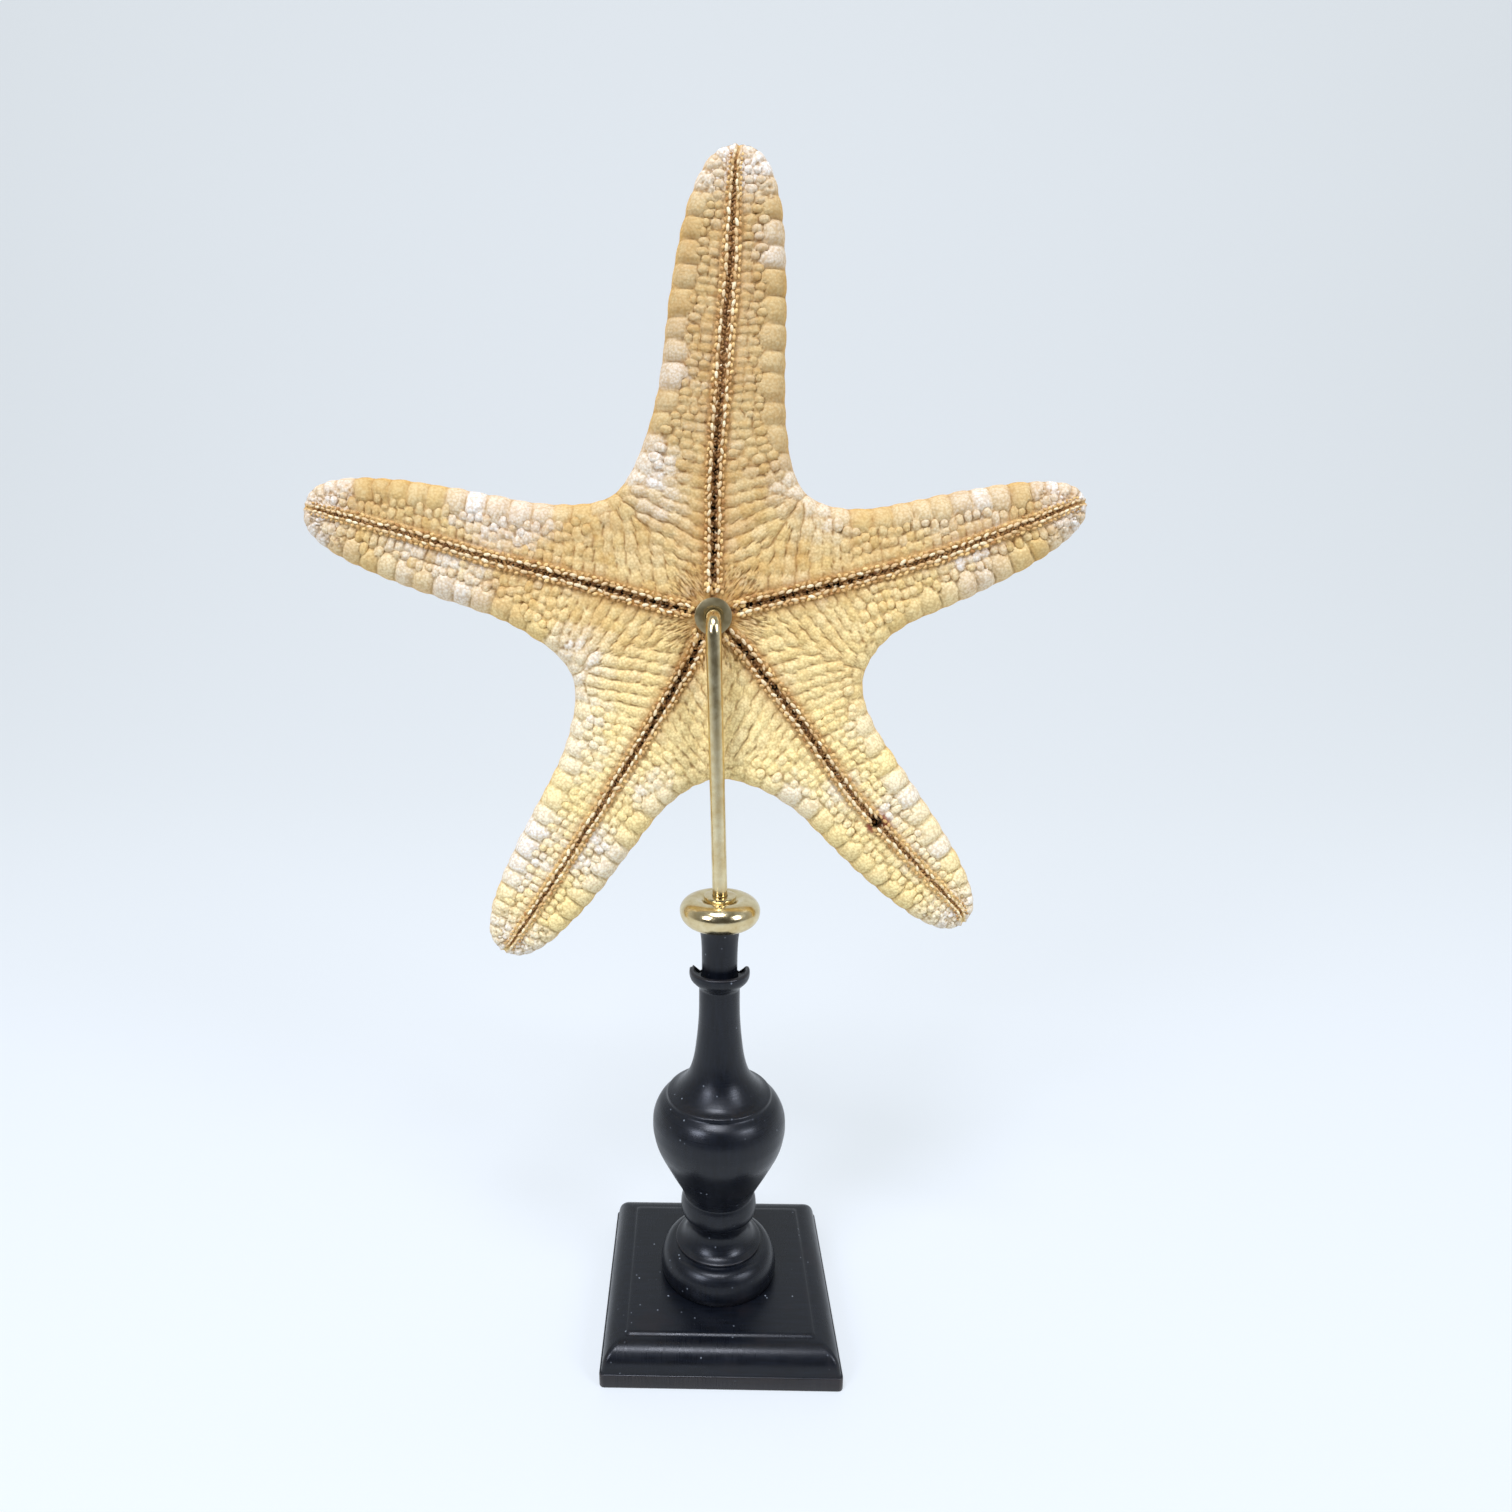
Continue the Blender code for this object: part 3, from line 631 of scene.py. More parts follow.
BACK_REACH = 20.0  # distance from the outline over which it rises
TIP_THINNING = 0.36  # share of its depth that the longest arm loses at its tip
MOUTH_RADIUS = 3.4
MOUTH_DEPTH = 7.0
SEAT_RADIUS = 6.6  # smooth place under the flat washer
DISC_SHARE = 0.72  # the disc's rows end at this share of the notches' distance
DISC_SPREAD = 1.25  # how much closer those rows lie at the notch
DISC_ROWS = 42
ARM_ROWS = 144
GROOVE_COLUMNS = 6
FIELD_COLUMNS = 16
RIM_COLUMNS = 12
BACK_RIM_COLUMNS = 7
BACK_FIELD_COLUMNS = 9
draw = np.random.default_rng(2718)


def clamped(values):
    """The values held between 0 and 1."""
    return np.clip(values, 0.0, 1.0)


def heading(degrees):
    """The unit vector that many degrees clockwise from the top."""
    turn = math.radians(degrees)
    return np.array((math.sin(turn), math.cos(turn)))


def arm_frame(index):
    """An arm's direction and the direction to its clockwise side."""
    along = heading(ARMS[index][0])
    return along, np.array((along[1], -along[0]))


def middle_offset(index, reach, with_groove=True):
    """How far an arm's middle line, or its groove, lies to the clockwise side at a reach."""
    _, length, bow, _, _ = ARMS[index]
    offset = bow * np.sin(np.pi * clamped(reach / length))
    if with_groove:
        wander = np.interp(reach, WANDER_REACHES, GROOVE_WANDER[index])
        offset = offset + wander * clamped((length - reach) / 6.0)
    return offset


def arm_half_width(index, reach):
    """Half the width of an arm: a straight taper with a blunt round tip."""
    _, length, _, half_width, taper = ARMS[index]
    into_tip = clamped((reach - length + TIP_LENGTH) / TIP_LENGTH)
    return (half_width - taper * reach / length) * (1.0 - into_tip**TIP_POWER) ** (1.0 / TIP_POWER)


def notch_of(index, side):
    """The inner corner on one side of an arm, 1 for clockwise and -1 for the other."""
    degrees, distance = NOTCHES[index if side > 0 else index - 1]
    return heading(degrees), distance


def arm_edge(index, side, share):
    """The outline on one side of an arm, from its notch at share 0 to the tip at share 1."""
    along, across = arm_frame(index)
    length = ARMS[index][1]
    ray, distance = notch_of(index, side)
    notch = ray * distance
    start = notch @ along
    reach = start + (length - start) * share
    bend_end = NOTCH_END * length

    def straight_edge(at):
        return along * at + across * (middle_offset(index, at, False) + side * arm_half_width(index, at))

    if reach >= bend_end:
        return straight_edge(reach)
    leaving = along - ray * (along @ ray)
    first = notch + leaving / np.linalg.norm(leaving) * NOTCH_PULL
    joining = straight_edge(bend_end)
    arriving = joining - straight_edge(bend_end + 1.0)
    second = joining + arriving / np.linalg.norm(arriving) * NOTCH_PULL
    t = (reach - start) / (bend_end - start)
    u = 1.0 - t
    return notch * u**3 + first * 3 * u * u * t + second * 3 * u * t * t + joining * t**3


def tip_spacing(share):
    """Evenly spaced rows that close up towards the tip."""
    return 0.35 * share + 0.65 * math.sin(share * math.pi / 2)


def row_ends(index, side, row, back):
    """Where a row starts on the groove, where it ends on the outline or the notch's ray, and its reach."""
    along, across = arm_frame(index)
    ray, distance = notch_of(index, side)
    length = ARMS[index][1]
    centre = 0.0 if back and row == 0 else MOUTH_RADIUS
    disc_end = DISC_SHARE * (NOTCHES[index][1] + NOTCHES[index - 1][1]) / 2
    if row <= DISC_ROWS:
        share = row / DISC_ROWS
        inner = centre + (disc_end - centre) * share
        end = ray * (centre + (distance - centre) * (1.0 - (1.0 - share) ** DISC_SPREAD))
    else:
        share = tip_spacing((row - DISC_ROWS) / ARM_ROWS)
        inner = disc_end + (length - disc_end) * share
        end = arm_edge(index, side, share)
    return along * inner + across * middle_offset(index, inner), end, inner


def groove_half(index, reach):
    """Half the width of an arm's groove, which closes towards the tip, and stays wide along the top arm."""
    return np.interp(reach, GROOVE_REACHES, GROOVE_HALVES[index])


outline = []
for arm in range(5):
    for arm_side in (-1, 1):
        outline += [arm_edge(arm, arm_side, tip_spacing(step / 420)) for step in range(421)]
outline_tree = KDTree(len(outline))
for number, point in enumerate(outline):
    outline_tree.insert((*point, 0.0), number)
outline_tree.balance()


def to_outline(flat):
    """The distance of each flat point to the outline."""
    return np.array([outline_tree.find((*point, 0.0))[2] for point in flat])


def sheet_depth(flat, distance, back):
    """Depth of the smooth underside or back at flat points, given their distances to the outline."""
    thin = 1.0 - TIP_THINNING * ((flat**2).sum(axis=1)) / ARMS[0][1] ** 2

    def quarter(width):
        return np.sqrt(clamped(1.0 - (1.0 - np.minimum(distance, width) / width) ** 2))

    if not back:
        return RIM_DEPTH * thin * (1.0 - quarter(RIM_ROUND))
    swell = BACK_ROUND * quarter(BACK_ROUND)
    swell += BACK_RISE * (1.0 - np.exp(-np.maximum(distance - 1.0, 0.0) / BACK_REACH))
    return (RIM_DEPTH + swell) * thin


def sheet_columns(index, side, row, back):
    """Shares along a row, close together where the groove and the rounded rim need them."""
    middle, end, reach = row_ends(index, side, row, back)
    width = max(float(np.linalg.norm(end - middle)), 0.001)
    rim = min((BACK_ROUND if back else RIM_ROUND) * 1.1, 0.45 * width)
    steps = BACK_RIM_COLUMNS if back else RIM_COLUMNS
    on_edge = min(max((row / DISC_ROWS - 0.75) / 0.25, 0.0), 1.0)
    near_end = []
    for step in range(1, steps + 1):
        even = 1.0 - step / steps
        curved = 1.0 - math.sin(step / steps * math.pi / 2)
        near_end.append(width - rim * ((1.0 - on_edge) * even + on_edge * curved))
    if back:
        field = np.linspace(0.0, width - rim, BACK_FIELD_COLUMNS + 1)
        return middle, end, [*field, *near_end], width
    half = min(float(groove_half(index, reach)), 0.25 * width)
    groove = [half * 1.3 * step / GROOVE_COLUMNS for step in range(GROOVE_COLUMNS)]
    field = np.linspace(half * 1.3, width - rim, FIELD_COLUMNS + 1)
    return middle, end, [*groove, *field, *near_end], width


star_points = []
star_faces = []
for arm in range(5):
    for arm_side in (-1, 1):
        for back in (False, True):
            flat_rows = []
            on_rim = []
            for row in range(DISC_ROWS + ARM_ROWS + 1):
                middle, end, columns, width = sheet_columns(arm, arm_side, row, back)
                flat_rows += [middle + (end - middle) * (offset / width) for offset in columns]
                on_rim += [False] * (len(columns) - 1) + [row >= DISC_ROWS]
            flat = np.array(flat_rows)
            distance = to_outline(flat)
            distance[np.array(on_rim)] = 0.0
            depth = sheet_depth(flat, distance, back)
            first = sum(len(block) for block in star_points)
            count = len(columns)
            star_points.append(np.column_stack((flat[:, 0], depth, flat[:, 1])))
            for row in range(DISC_ROWS + ARM_ROWS):
                for column in range(count - 1):
                    low = first + row * count + column
                    star_faces.append((low, low + 1, low + 1 + count, low + count))

star_mesh = bpy.data.meshes.new("dried_starfish_skin")
star_mesh.from_pydata(np.concatenate(star_points).tolist(), [], star_faces)
star = bpy.data.objects.new("dried_starfish_skin", star_mesh)
bpy.context.scene.collection.objects.link(star)
bpy.ops.object.select_all(action="DESELECT")
star.select_set(True)
bpy.context.view_layer.objects.active = star
bpy.ops.object.mode_set(mode="EDIT")
bpy.ops.mesh.select_all(action="SELECT")
bpy.ops.mesh.remove_doubles(threshold=0.02)
bpy.ops.mesh.normals_make_consistent(inside=False)
bpy.ops.mesh.select_all(action="DESELECT")
bpy.ops.mesh.select_non_manifold(extend=False, use_wire=False, use_multi_face=False, use_non_contiguous=False)
bpy.ops.mesh.extrude_edges_move(TRANSFORM_OT_translate={"value": (0.0, MOUTH_DEPTH, 0.0)})
bpy.ops.mesh.edge_face_add()
bpy.ops.mesh.select_all(action="SELECT")
bpy.ops.mesh.normals_make_consistent(inside=False)
bpy.ops.object.mode_set(mode="OBJECT")

# The skin's relief. Each point of the skin finds the plates nearest to it, rises where it lies over the
# middle of one and sinks in the creases between them. Grooves, pits, the hole and the knobs come on top.

skin_count = len(star_mesh.vertices)
skin_at = np.empty(skin_count * 3)
star_mesh.vertices.foreach_get("co", skin_at)
skin_at = skin_at.reshape(-1, 3)
skin_out = np.empty(skin_count * 3)
star_mesh.vertex_normals.foreach_get("vector", skin_out)
skin_out = skin_out.reshape(-1, 3)
skin_tree = KDTree(skin_count)
for number, point in enumerate(skin_at):
    skin_tree.insert(point, number)
skin_tree.balance()
notch_angles = np.array([degrees for degrees, _ in NOTCHES])


def arm_place(flat):
    """Each flat point's arm, its reach along that arm, and how far it lies clockwise of the arm's groove."""
    turn = np.degrees(np.arctan2(flat[:, 0], flat[:, 1])) % 360.0
    index = np.searchsorted(notch_angles, turn) % 5
    frames = np.array([np.concatenate(arm_frame(number)) for number in range(5)])[index]
    reach = (flat * frames[:, :2]).sum(axis=1)
    aside = (flat * frames[:, 2:]).sum(axis=1)
    for number in range(5):
        own = index == number
        aside[own] -= middle_offset(number, reach[own])
    return index, reach, aside


plates = []  # place, long axis, outward, half length, half breadth, height, whiteness, kind and ridge of each
EDGE_PLATE, COBBLE, GRANULE, BACK_PLATE = range(4)


def lay_plate(flat, depth, long_axis, half_length, half_breadth, height, kind, chalk=0.0, ridge=None):
    """Puts a plate on the skin near a place, its long axis along the skin, alone or as one of a ridge."""
    place, number, _ = skin_tree.find((flat[0], depth, flat[1]))
    outward = skin_out[number]
    long_axis = np.array(long_axis, float)
    long_axis -= outward * (long_axis @ outward)
    long_axis /= max(np.linalg.norm(long_axis), 0.001)
    own_ridge = -len(plates) if ridge is None else ridge
    plates.append((*place, *long_axis, *outward, half_length, half_breadth, height, chalk, kind, own_ridge))


EDGE_SPACING = (7.4, 6.3, 6.6, 6.6, 6.6)  # length of a plate on each arm's edge
EDGE_BREADTH = 5.6
EDGE_HEIGHT = 1.6
EDGE_INSET = 3.9  # from the outline to a plate's middle
BEHIND_BREADTH = 3.4  # the smaller plates on the back's edge
BEHIND_HEIGHT = 0.6
CHALKY_PLACES = (  # where the skin has bleached white: x, y, radius, how white
    (-21.0, 45.0, 8.0, 0.9),
    (-17.0, 36.0, 6.0, 0.5),
    (27.0, 42.0, 7.0, 0.6),
    (36.0, 35.0, 8.0, 0.5),
    (-72.0, 35.0, 10.0, 0.9),
    (-60.0, 31.0, 8.0, 0.8),
    (-84.0, 12.0, 10.0, 0.8),
    (-100.0, 18.0, 8.0, 0.6),
    (-46.0, -14.0, 9.0, 0.8),
    (-43.0, -32.0, 8.0, 0.7),
    (-45.0, -44.0, 8.0, 0.6),
    (-60.0, -72.0, 9.0, 0.9),
    (-66.0, -84.0, 10.0, 0.9),
    (-40.0, -80.0, 9.0, 0.9),
    (-32.0, -86.0, 7.0, 0.7),
    (-20.0, -58.0, 7.0, 0.6),
    (26.0, -62.0, 8.0, 0.6),
    (44.0, -60.0, 7.0, 0.5),
    (63.0, -62.0, 8.0, 0.8),
    (72.0, -78.0, 8.0, 0.6),
    (52.0, -36.0, 6.0, 0.5),
    (84.0, 14.0, 9.0, 0.7),
    (72.0, 34.0, 8.0, 0.5),
    (84.0, 36.0, 7.0, 0.6),
    (-14.0, 78.0, 6.0, 0.5),
    (20.0, 112.0, 6.0, 0.4),
)


def bleached(flat):
    """How white a flat place is, from 0 to 1: the named places and the last stretch of each arm."""
    flat = np.atleast_2d(flat)
    white = np.zeros(len(flat))
    for x, y, radius, strength in CHALKY_PLACES:
        away = np.hypot(flat[:, 0] - x, flat[:, 1] - y) / radius
        white = np.maximum(white, strength * clamped(1.6 - away))
    index, reach, _ = arm_place(flat)
    lengths = np.array([row[1] for row in ARMS])[index]
    return np.maximum(white, clamped((reach - lengths + 19.0) / 12.0))


def plate_chalk(flat):
    """A plate's own whiteness: plates bleach one by one, most of all in the bleached places."""
    white = float(bleached(flat)[0])
    return min(1.0, max(0.0, white * draw.uniform(0.35, 1.25) + draw.normal(0.0, 0.07)))


def edge_walk(index, side, spacing):
    """Steps along one edge of an arm from its notch: middle of each step, its direction and its length."""
    line = np.array([arm_edge(index, side, share) for share in np.linspace(0.0, 1.0, 500)])
    run = np.concatenate(([0.0], np.cumsum(np.linalg.norm(np.diff(line, axis=0), axis=1))))
    at = 0.0
    while at < run[-1] - 2.5:
        left = run[-1] - at
        step = spacing * min(1.0, 0.45 + left / 55.0, 0.62 + at / 45.0) * draw.uniform(0.88, 1.12)
        step = min(step, left)
        low = np.array([np.interp(at, run, line[:, axis]) for axis in (0, 1)])
        high = np.array([np.interp(at + step, run, line[:, axis]) for axis in (0, 1)])
        yield (low + high) / 2, (high - low) / max(np.linalg.norm(high - low), 0.01), step
        at += step


for arm in range(5):
    for arm_side in (-1, 1):
        for middle, along_edge, step in edge_walk(arm, arm_side, EDGE_SPACING[arm]):
            inward = np.array((-along_edge[1], along_edge[0]))
            if arm_side * (inward @ arm_frame(arm)[1]) > 0:
                inward = -inward
            size = step / EDGE_SPACING[arm]
            at = middle + inward * EDGE_INSET * size
            white = plate_chalk(at)
            edge_axis = (along_edge[0], 0.0, along_edge[1])
            broad = EDGE_BREADTH * size * draw.uniform(0.9, 1.1)
            lay_plate(at, 1.2, edge_axis, step / 2, broad, EDGE_HEIGHT * size, EDGE_PLATE, white)
            behind = middle + inward * 1.8 + along_edge * step * 0.4
            low = BEHIND_HEIGHT * size
            lay_plate(behind, 11.5, edge_axis, step / 2, BEHIND_BREADTH, low, BACK_PLATE, 0.3 * white)

RIDGE_SPACING = 4.2  # between the disc's ridges, along the groove
COBBLE_SPACING = 2.75  # and between the rows of cobbles on the arms
RIDGE_GRAIN = 4.6  # length of a plate in a ridge
COBBLE_GRAIN = 3.3
RIDGES_END = 30.0  # reach where the ridges begin to break up into cobbles
RIDGES_GONE = 62.0  # and where only cobbles are left
RIDGE_LEAN = 20.0  # degrees that a ridge leans towards the tip, beyond the lean of a row of cobbles
COBBLE_LEAN = 3.0
RIDGE_HEIGHT = 1.2
ridge_count = 0
for arm in range(5):
    along, across = arm_frame(arm)
    length = ARMS[arm][1]
    for arm_side in (-1, 1):
        reach = 7.5
        while reach < length - 8.0:
            on_arm = min(max((reach - RIDGES_END) / (RIDGES_GONE - RIDGES_END), 0.0), 1.0)
            spacing = RIDGE_SPACING + (COBBLE_SPACING - RIDGE_SPACING) * on_arm
            lean = math.radians(RIDGE_LEAN * (1.0 - on_arm) + COBBLE_LEAN)
            aside = float(groove_half(arm, reach)) + 2.2
            ridge_height = draw.uniform(0.85, 1.1)
            ridge_count += 1
            edge_room = 5.0 + 2.6 * min(max((reach - 45.0) / 20.0, 0.0), 1.0)
            edge_room *= min(1.0, 0.45 + (length - reach) / 55.0)
            while True:
                grain = (RIDGE_GRAIN + (COBBLE_GRAIN - RIDGE_GRAIN) * on_arm) * draw.uniform(0.7, 1.35)
                run = aside + grain / 2
                at_reach = reach + run * math.sin(lean) + draw.normal(0.0, 0.18)
                at_side = run * math.cos(lean)
                offset = arm_side * at_side + float(middle_offset(arm, at_reach))
                flat = along * at_reach + across * offset
                if int(arm_place(flat[None])[0][0]) != arm or to_outline([flat])[0] < edge_room:
                    break
                if arm_side * (flat @ across) > 0 or at_side > 2.0:
                    direction = along * math.sin(lean) + across * arm_side * math.cos(lean)
                    height = (RIDGE_HEIGHT - 0.3 * on_arm) * ridge_height * draw.uniform(0.85, 1.1)
                    half_breadth = spacing / 2 * draw.uniform(0.92, 1.05)
                    axis = (direction[0], 0.0, direction[1])
                    white = plate_chalk(flat)
                    lay_plate(flat, 0.0, axis, grain / 2, half_breadth, height, COBBLE, white, ridge_count)
                aside += grain
            reach += spacing * draw.uniform(0.9, 1.1)


AROUND = [(i, j, k) for i in (-1, 0, 1) for j in (-1, 0, 1) for k in (-1, 0, 1)]


def scatter(candidates, spacing):
    """Numbers of the skin's points that keep this far from each other, in a drawn order."""
    taken = {}
    kept = []
    for number in draw.permutation(candidates):
        place = skin_at[number]
        cell = tuple((place // spacing).astype(int))
        near = [taken.get((cell[0] + i, cell[1] + j, cell[2] + k)) for i, j, k in AROUND]
        if all(other is None or np.linalg.norm(skin_at[other] - place) > spacing for other in near):
            taken[cell] = number
            kept.append(number)
    return kept


skin_flat = skin_at[:, (0, 2)]
skin_edge = to_outline(skin_flat)
skin_arm, skin_reach, skin_aside = arm_place(skin_flat)
skin_length = np.array([row[1] for row in ARMS])[skin_arm]
skin_middle_distance = np.linalg.norm(skin_flat, axis=1)
thin_here = 1.0 - TIP_THINNING * skin_middle_distance**2 / ARMS[0][1] ** 2
on_back = skin_at[:, 1] > RIM_DEPTH * thin_here + 0.3
near_tip = skin_reach > skin_length - 15.0
near_mouth = (~on_back) & (skin_middle_distance < 17.0) & (skin_middle_distance > 5.0)
half_here = np.choose(skin_arm, [groove_half(number, skin_reach) for number in range(5)])
near_mouth &= np.abs(skin_aside) > half_here + 1.0
crown = on_back & (skin_edge > 4.5)
for candidates, spacing, height, kind in (
    (np.flatnonzero(near_tip & (skin_edge > 2.5) & ~on_back), 1.7, 0.3, GRANULE),
    (np.flatnonzero(near_mouth), 1.55, 0.32, GRANULE),
    (np.flatnonzero(crown), 2.9, 0.42, BACK_PLATE),
):
    for number in scatter(candidates, spacing):
        place = skin_at[number]
        turn = draw.uniform(0.0, math.pi)
        size = spacing * 0.55 * draw.uniform(0.85, 1.2)
        axis = (math.cos(turn), 0.0, math.sin(turn))
        flat = place[[0, 2]]
        white = 0.0 if kind == BACK_PLATE else plate_chalk(flat)
        lay_plate(flat, place[1], axis, size * 1.15, size, height, kind, white)

plates = np.array(plates)
HALF_LENGTH, HALF_BREADTH, HEIGHT, CHALK, KIND, RIDGE = range(9, 15)
plate_at, plate_long, plate_out = plates[:, 0:3], plates[:, 3:6], plates[:, 6:9]
plate_broad = np.cross(plate_out, plate_long)
plate_tree = KDTree(len(plates))
for number, point in enumerate(plate_at):
    plate_tree.insert(point, number)
plate_tree.balance()
NEIGHBOURS = 12  # plates near a point among which its own is found
nearest = np.array([[found[1] for found in plate_tree.find_n(point, NEIGHBOURS)] for point in skin_at])


def wander(points, size, amount, seed):
    """A smooth random shift of each point, of about this amount and grain size."""
    shift = np.zeros_like(points)
    waves = np.random.default_rng(seed)
    for _ in range(7):
        direction = waves.normal(size=(3, 3)) / size
        shift += np.sin(points @ direction.T + waves.uniform(0.0, 6.28, 3)) * amount / 2.6
    return shift


apart = (skin_at + wander(skin_at, size=2.2, amount=0.22, seed=11))[:, None, :] - plate_at[nearest]
along_long = (apart * plate_long[nearest]).sum(axis=2) / plates[nearest, HALF_LENGTH]
along_broad = (apart * plate_broad[nearest]).sum(axis=2) / plates[nearest, HALF_BREADTH]
along_out = (apart * plate_out[nearest]).sum(axis=2) / plates[nearest, HALF_BREADTH]
measured = np.sqrt(along_long**2 + along_broad**2 + 1.6 * along_out**2)
order = np.argsort(measured, axis=1)
rows = np.arange(skin_count)
own = nearest[rows, order[:, 0]]
gap_to_next = measured[rows, order[:, 1]] - measured[rows, order[:, 0]]
other_ridge = plates[nearest, RIDGE] != plates[own, RIDGE][:, None]
gap_to_ridge = np.where(other_ridge, measured, 9.0).min(axis=1) - measured[rows, order[:, 0]]
own_height = plates[own, HEIGHT]
ridged = clamped((RIDGES_GONE - skin_reach) / 30.0) * (plates[own, KIND] == COBBLE)


def pillowed(gap):
    """A plate's swelling, from 0 at its crease to 1 over its middle."""
    return 1.0 - (1.0 - clamped(gap / 0.95)) ** 2.4


pillow_in_ridge = pillowed(gap_to_ridge) * (0.74 + 0.26 * pillowed(gap_to_next))
pillow = pillow_in_ridge * ridged + pillowed(gap_to_next) * (1.0 - ridged)
# Painted shade: this mask darkens the colour in the creases between plates.
painted_crease_shade = 1.0 - clamped((gap_to_ridge * ridged + gap_to_next * (1.0 - ridged)) / 0.38)
painted_crease_shade = np.maximum(painted_crease_shade, 0.65 * ridged * (1.0 - clamped(gap_to_next / 0.3)))

beside = np.abs(skin_aside)
grooved = (~on_back) & (skin_reach > 2.0)
from_groove = np.where(grooved, beside - half_here, 9.0)
middle_fade = clamped(skin_reach / 14.0) * clamped((skin_length - skin_reach) / 10.0)
bare_strip = 1.3 * clamped((skin_length - skin_reach - 2.0) / 14.0)
in_field = clamped((from_groove - bare_strip) / 0.9)
seat = clamped((skin_middle_distance - SEAT_RADIUS) / 1.5)
at_rim = np.where(plates[own, KIND] == EDGE_PLATE, 0.35 + 0.65 * clamped(skin_edge / 3.2), 1.0)
dome = np.sqrt(np.clip(1.0 - 0.6 * measured[rows, order[:, 0]] ** 2, 0.05, 1.0))
rise = own_height * at_rim * (1.15 * pillow * dome - 0.6) * in_field * np.where(on_back, 1.0, seat)

groove_shape = clamped(1.0 - (beside / (half_here * 1.15)) ** 2.4)
filled = clamped((skin_reach - 35.0) / 45.0)  # how far dried feet fill the groove
wide_groove = np.clip(half_here / 1.6, 0.45, 1.0)
sink = (1.9 - 0.9 * filled) * groove_shape * grooved * middle_fade * wide_groove
PIT_STEP = 3.6  # between the pits along a groove, where the tube feet stood
pit_number = np.clip(skin_reach / PIT_STEP, 0, 49).astype(int)
pit_draws = draw.uniform(-1.0, 1.0, (5, 50, 3))[skin_arm, pit_number]
pit_along = skin_reach - (pit_number + 0.5 + 0.18 * pit_draws[:, 0]) * PIT_STEP
pit_across = skin_aside - 0.35 * pit_draws[:, 1]
pit_radius = (0.9 + 0.25 * pit_draws[:, 2]) * np.clip(half_here / 1.1, 0.4, 1.0)
pits = np.exp(-((np.hypot(pit_along * 0.85, pit_across) / pit_radius) ** 4)) * grooved
pits *= (1.0 - 0.75 * filled) * clamped((skin_reach - 5.0) / 4.0)
sink += 1.6 * pits
lip = np.exp(-(((from_groove - 0.75) / 0.75) ** 2)) * grooved
rise += 0.45 * lip * middle_fade * seat

HOLE_ARM = 2  # the damaged place on the lower right arm
HOLE_REACH = 88.0
HOLE_RADIUS = 1.9
hole_along = (skin_reach - HOLE_REACH) / 1.1
hole_away = np.hypot(hole_along, skin_aside * 1.15) + wander(skin_at, size=1.2, amount=0.35, seed=5)[:, 0]
hole_away = np.where((skin_arm == HOLE_ARM) & ~on_back, hole_away, 99.0)
hole = clamped((HOLE_RADIUS + 0.5 - hole_away) / 0.8)
sink += 4.2 * hole
rise += 0.5 * np.exp(-(((hole_away - HOLE_RADIUS - 1.2) / 0.7) ** 2))

RIDGE_KNOB = 4.0  # height of the blunt knobs along the middle of the back, at the disc
SIDE_KNOB = 1.7  # and of those beside them
KNOB_DISC_ROWS = 8  # rows across an arm that lie on the disc
KNOB_ARM_ROWS = 24  # and on the arm, closer together towards its tip
knob_rise = np.zeros(skin_count)
knob_places = []
for arm in range(5):
    along, across = arm_frame(arm)
    length = ARMS[arm][1]
    disc_end = DISC_SHARE * (NOTCHES[arm][1] + NOTCHES[arm - 1][1]) / 2
    for row in range(0, KNOB_DISC_ROWS + KNOB_ARM_ROWS + 1, 2):
        if row <= KNOB_DISC_ROWS:
            reach = MOUTH_RADIUS + (disc_end - MOUTH_RADIUS) * row / KNOB_DISC_ROWS
        else:
            reach = disc_end + (length - disc_end) * tip_spacing((row - KNOB_DISC_ROWS) / KNOB_ARM_ROWS)
        half = float(arm_half_width(arm, reach))
        if row % 4 == 2 and reach < length - 9.0:
            fade = min(1.0, reach / 20.0, half / 14.0)
            spot = along * reach + across * middle_offset(arm, reach, False)
            knob_places.append((spot, RIDGE_KNOB * fade * (1.0 - 0.6 * reach / length)))
        elif row % 4 == 0 and KNOB_DISC_ROWS <= row < 22:
            for side in (-1, 1):
                spot = along * reach + across * (middle_offset(arm, reach, False) + side * half * 0.42)
                knob_places.append((spot, SIDE_KNOB))
knob_wander = wander(skin_at, size=2.5, amount=0.3, seed=8)[:, 1]
for spot, height in knob_places:
    if height > 0.4:
        away = np.hypot(skin_flat[:, 0] - spot[0], skin_flat[:, 1] - spot[1]) + knob_wander
        reach_out = 2.6 + 0.75 * height
        blunt_cone = height * clamped(1.15 - away / reach_out) ** 1.1
        knob_rise = np.maximum(knob_rise, blunt_cone * on_back)
rise += knob_rise

moved = skin_at + skin_out * rise[:, None]
moved[:, 1] += sink
in_mouth = (skin_middle_distance < MOUTH_RADIUS + 0.05) & ~on_back
moved[in_mouth] = skin_at[in_mouth]
star_mesh.vertices.foreach_set("co", moved.ravel())


def give(mesh, name, values):
    """Stores one number for each point of a mesh, for its material to read."""
    mesh.attributes.new(name, "FLOAT", "POINT").data.foreach_set("value", np.asarray(values, np.float32))


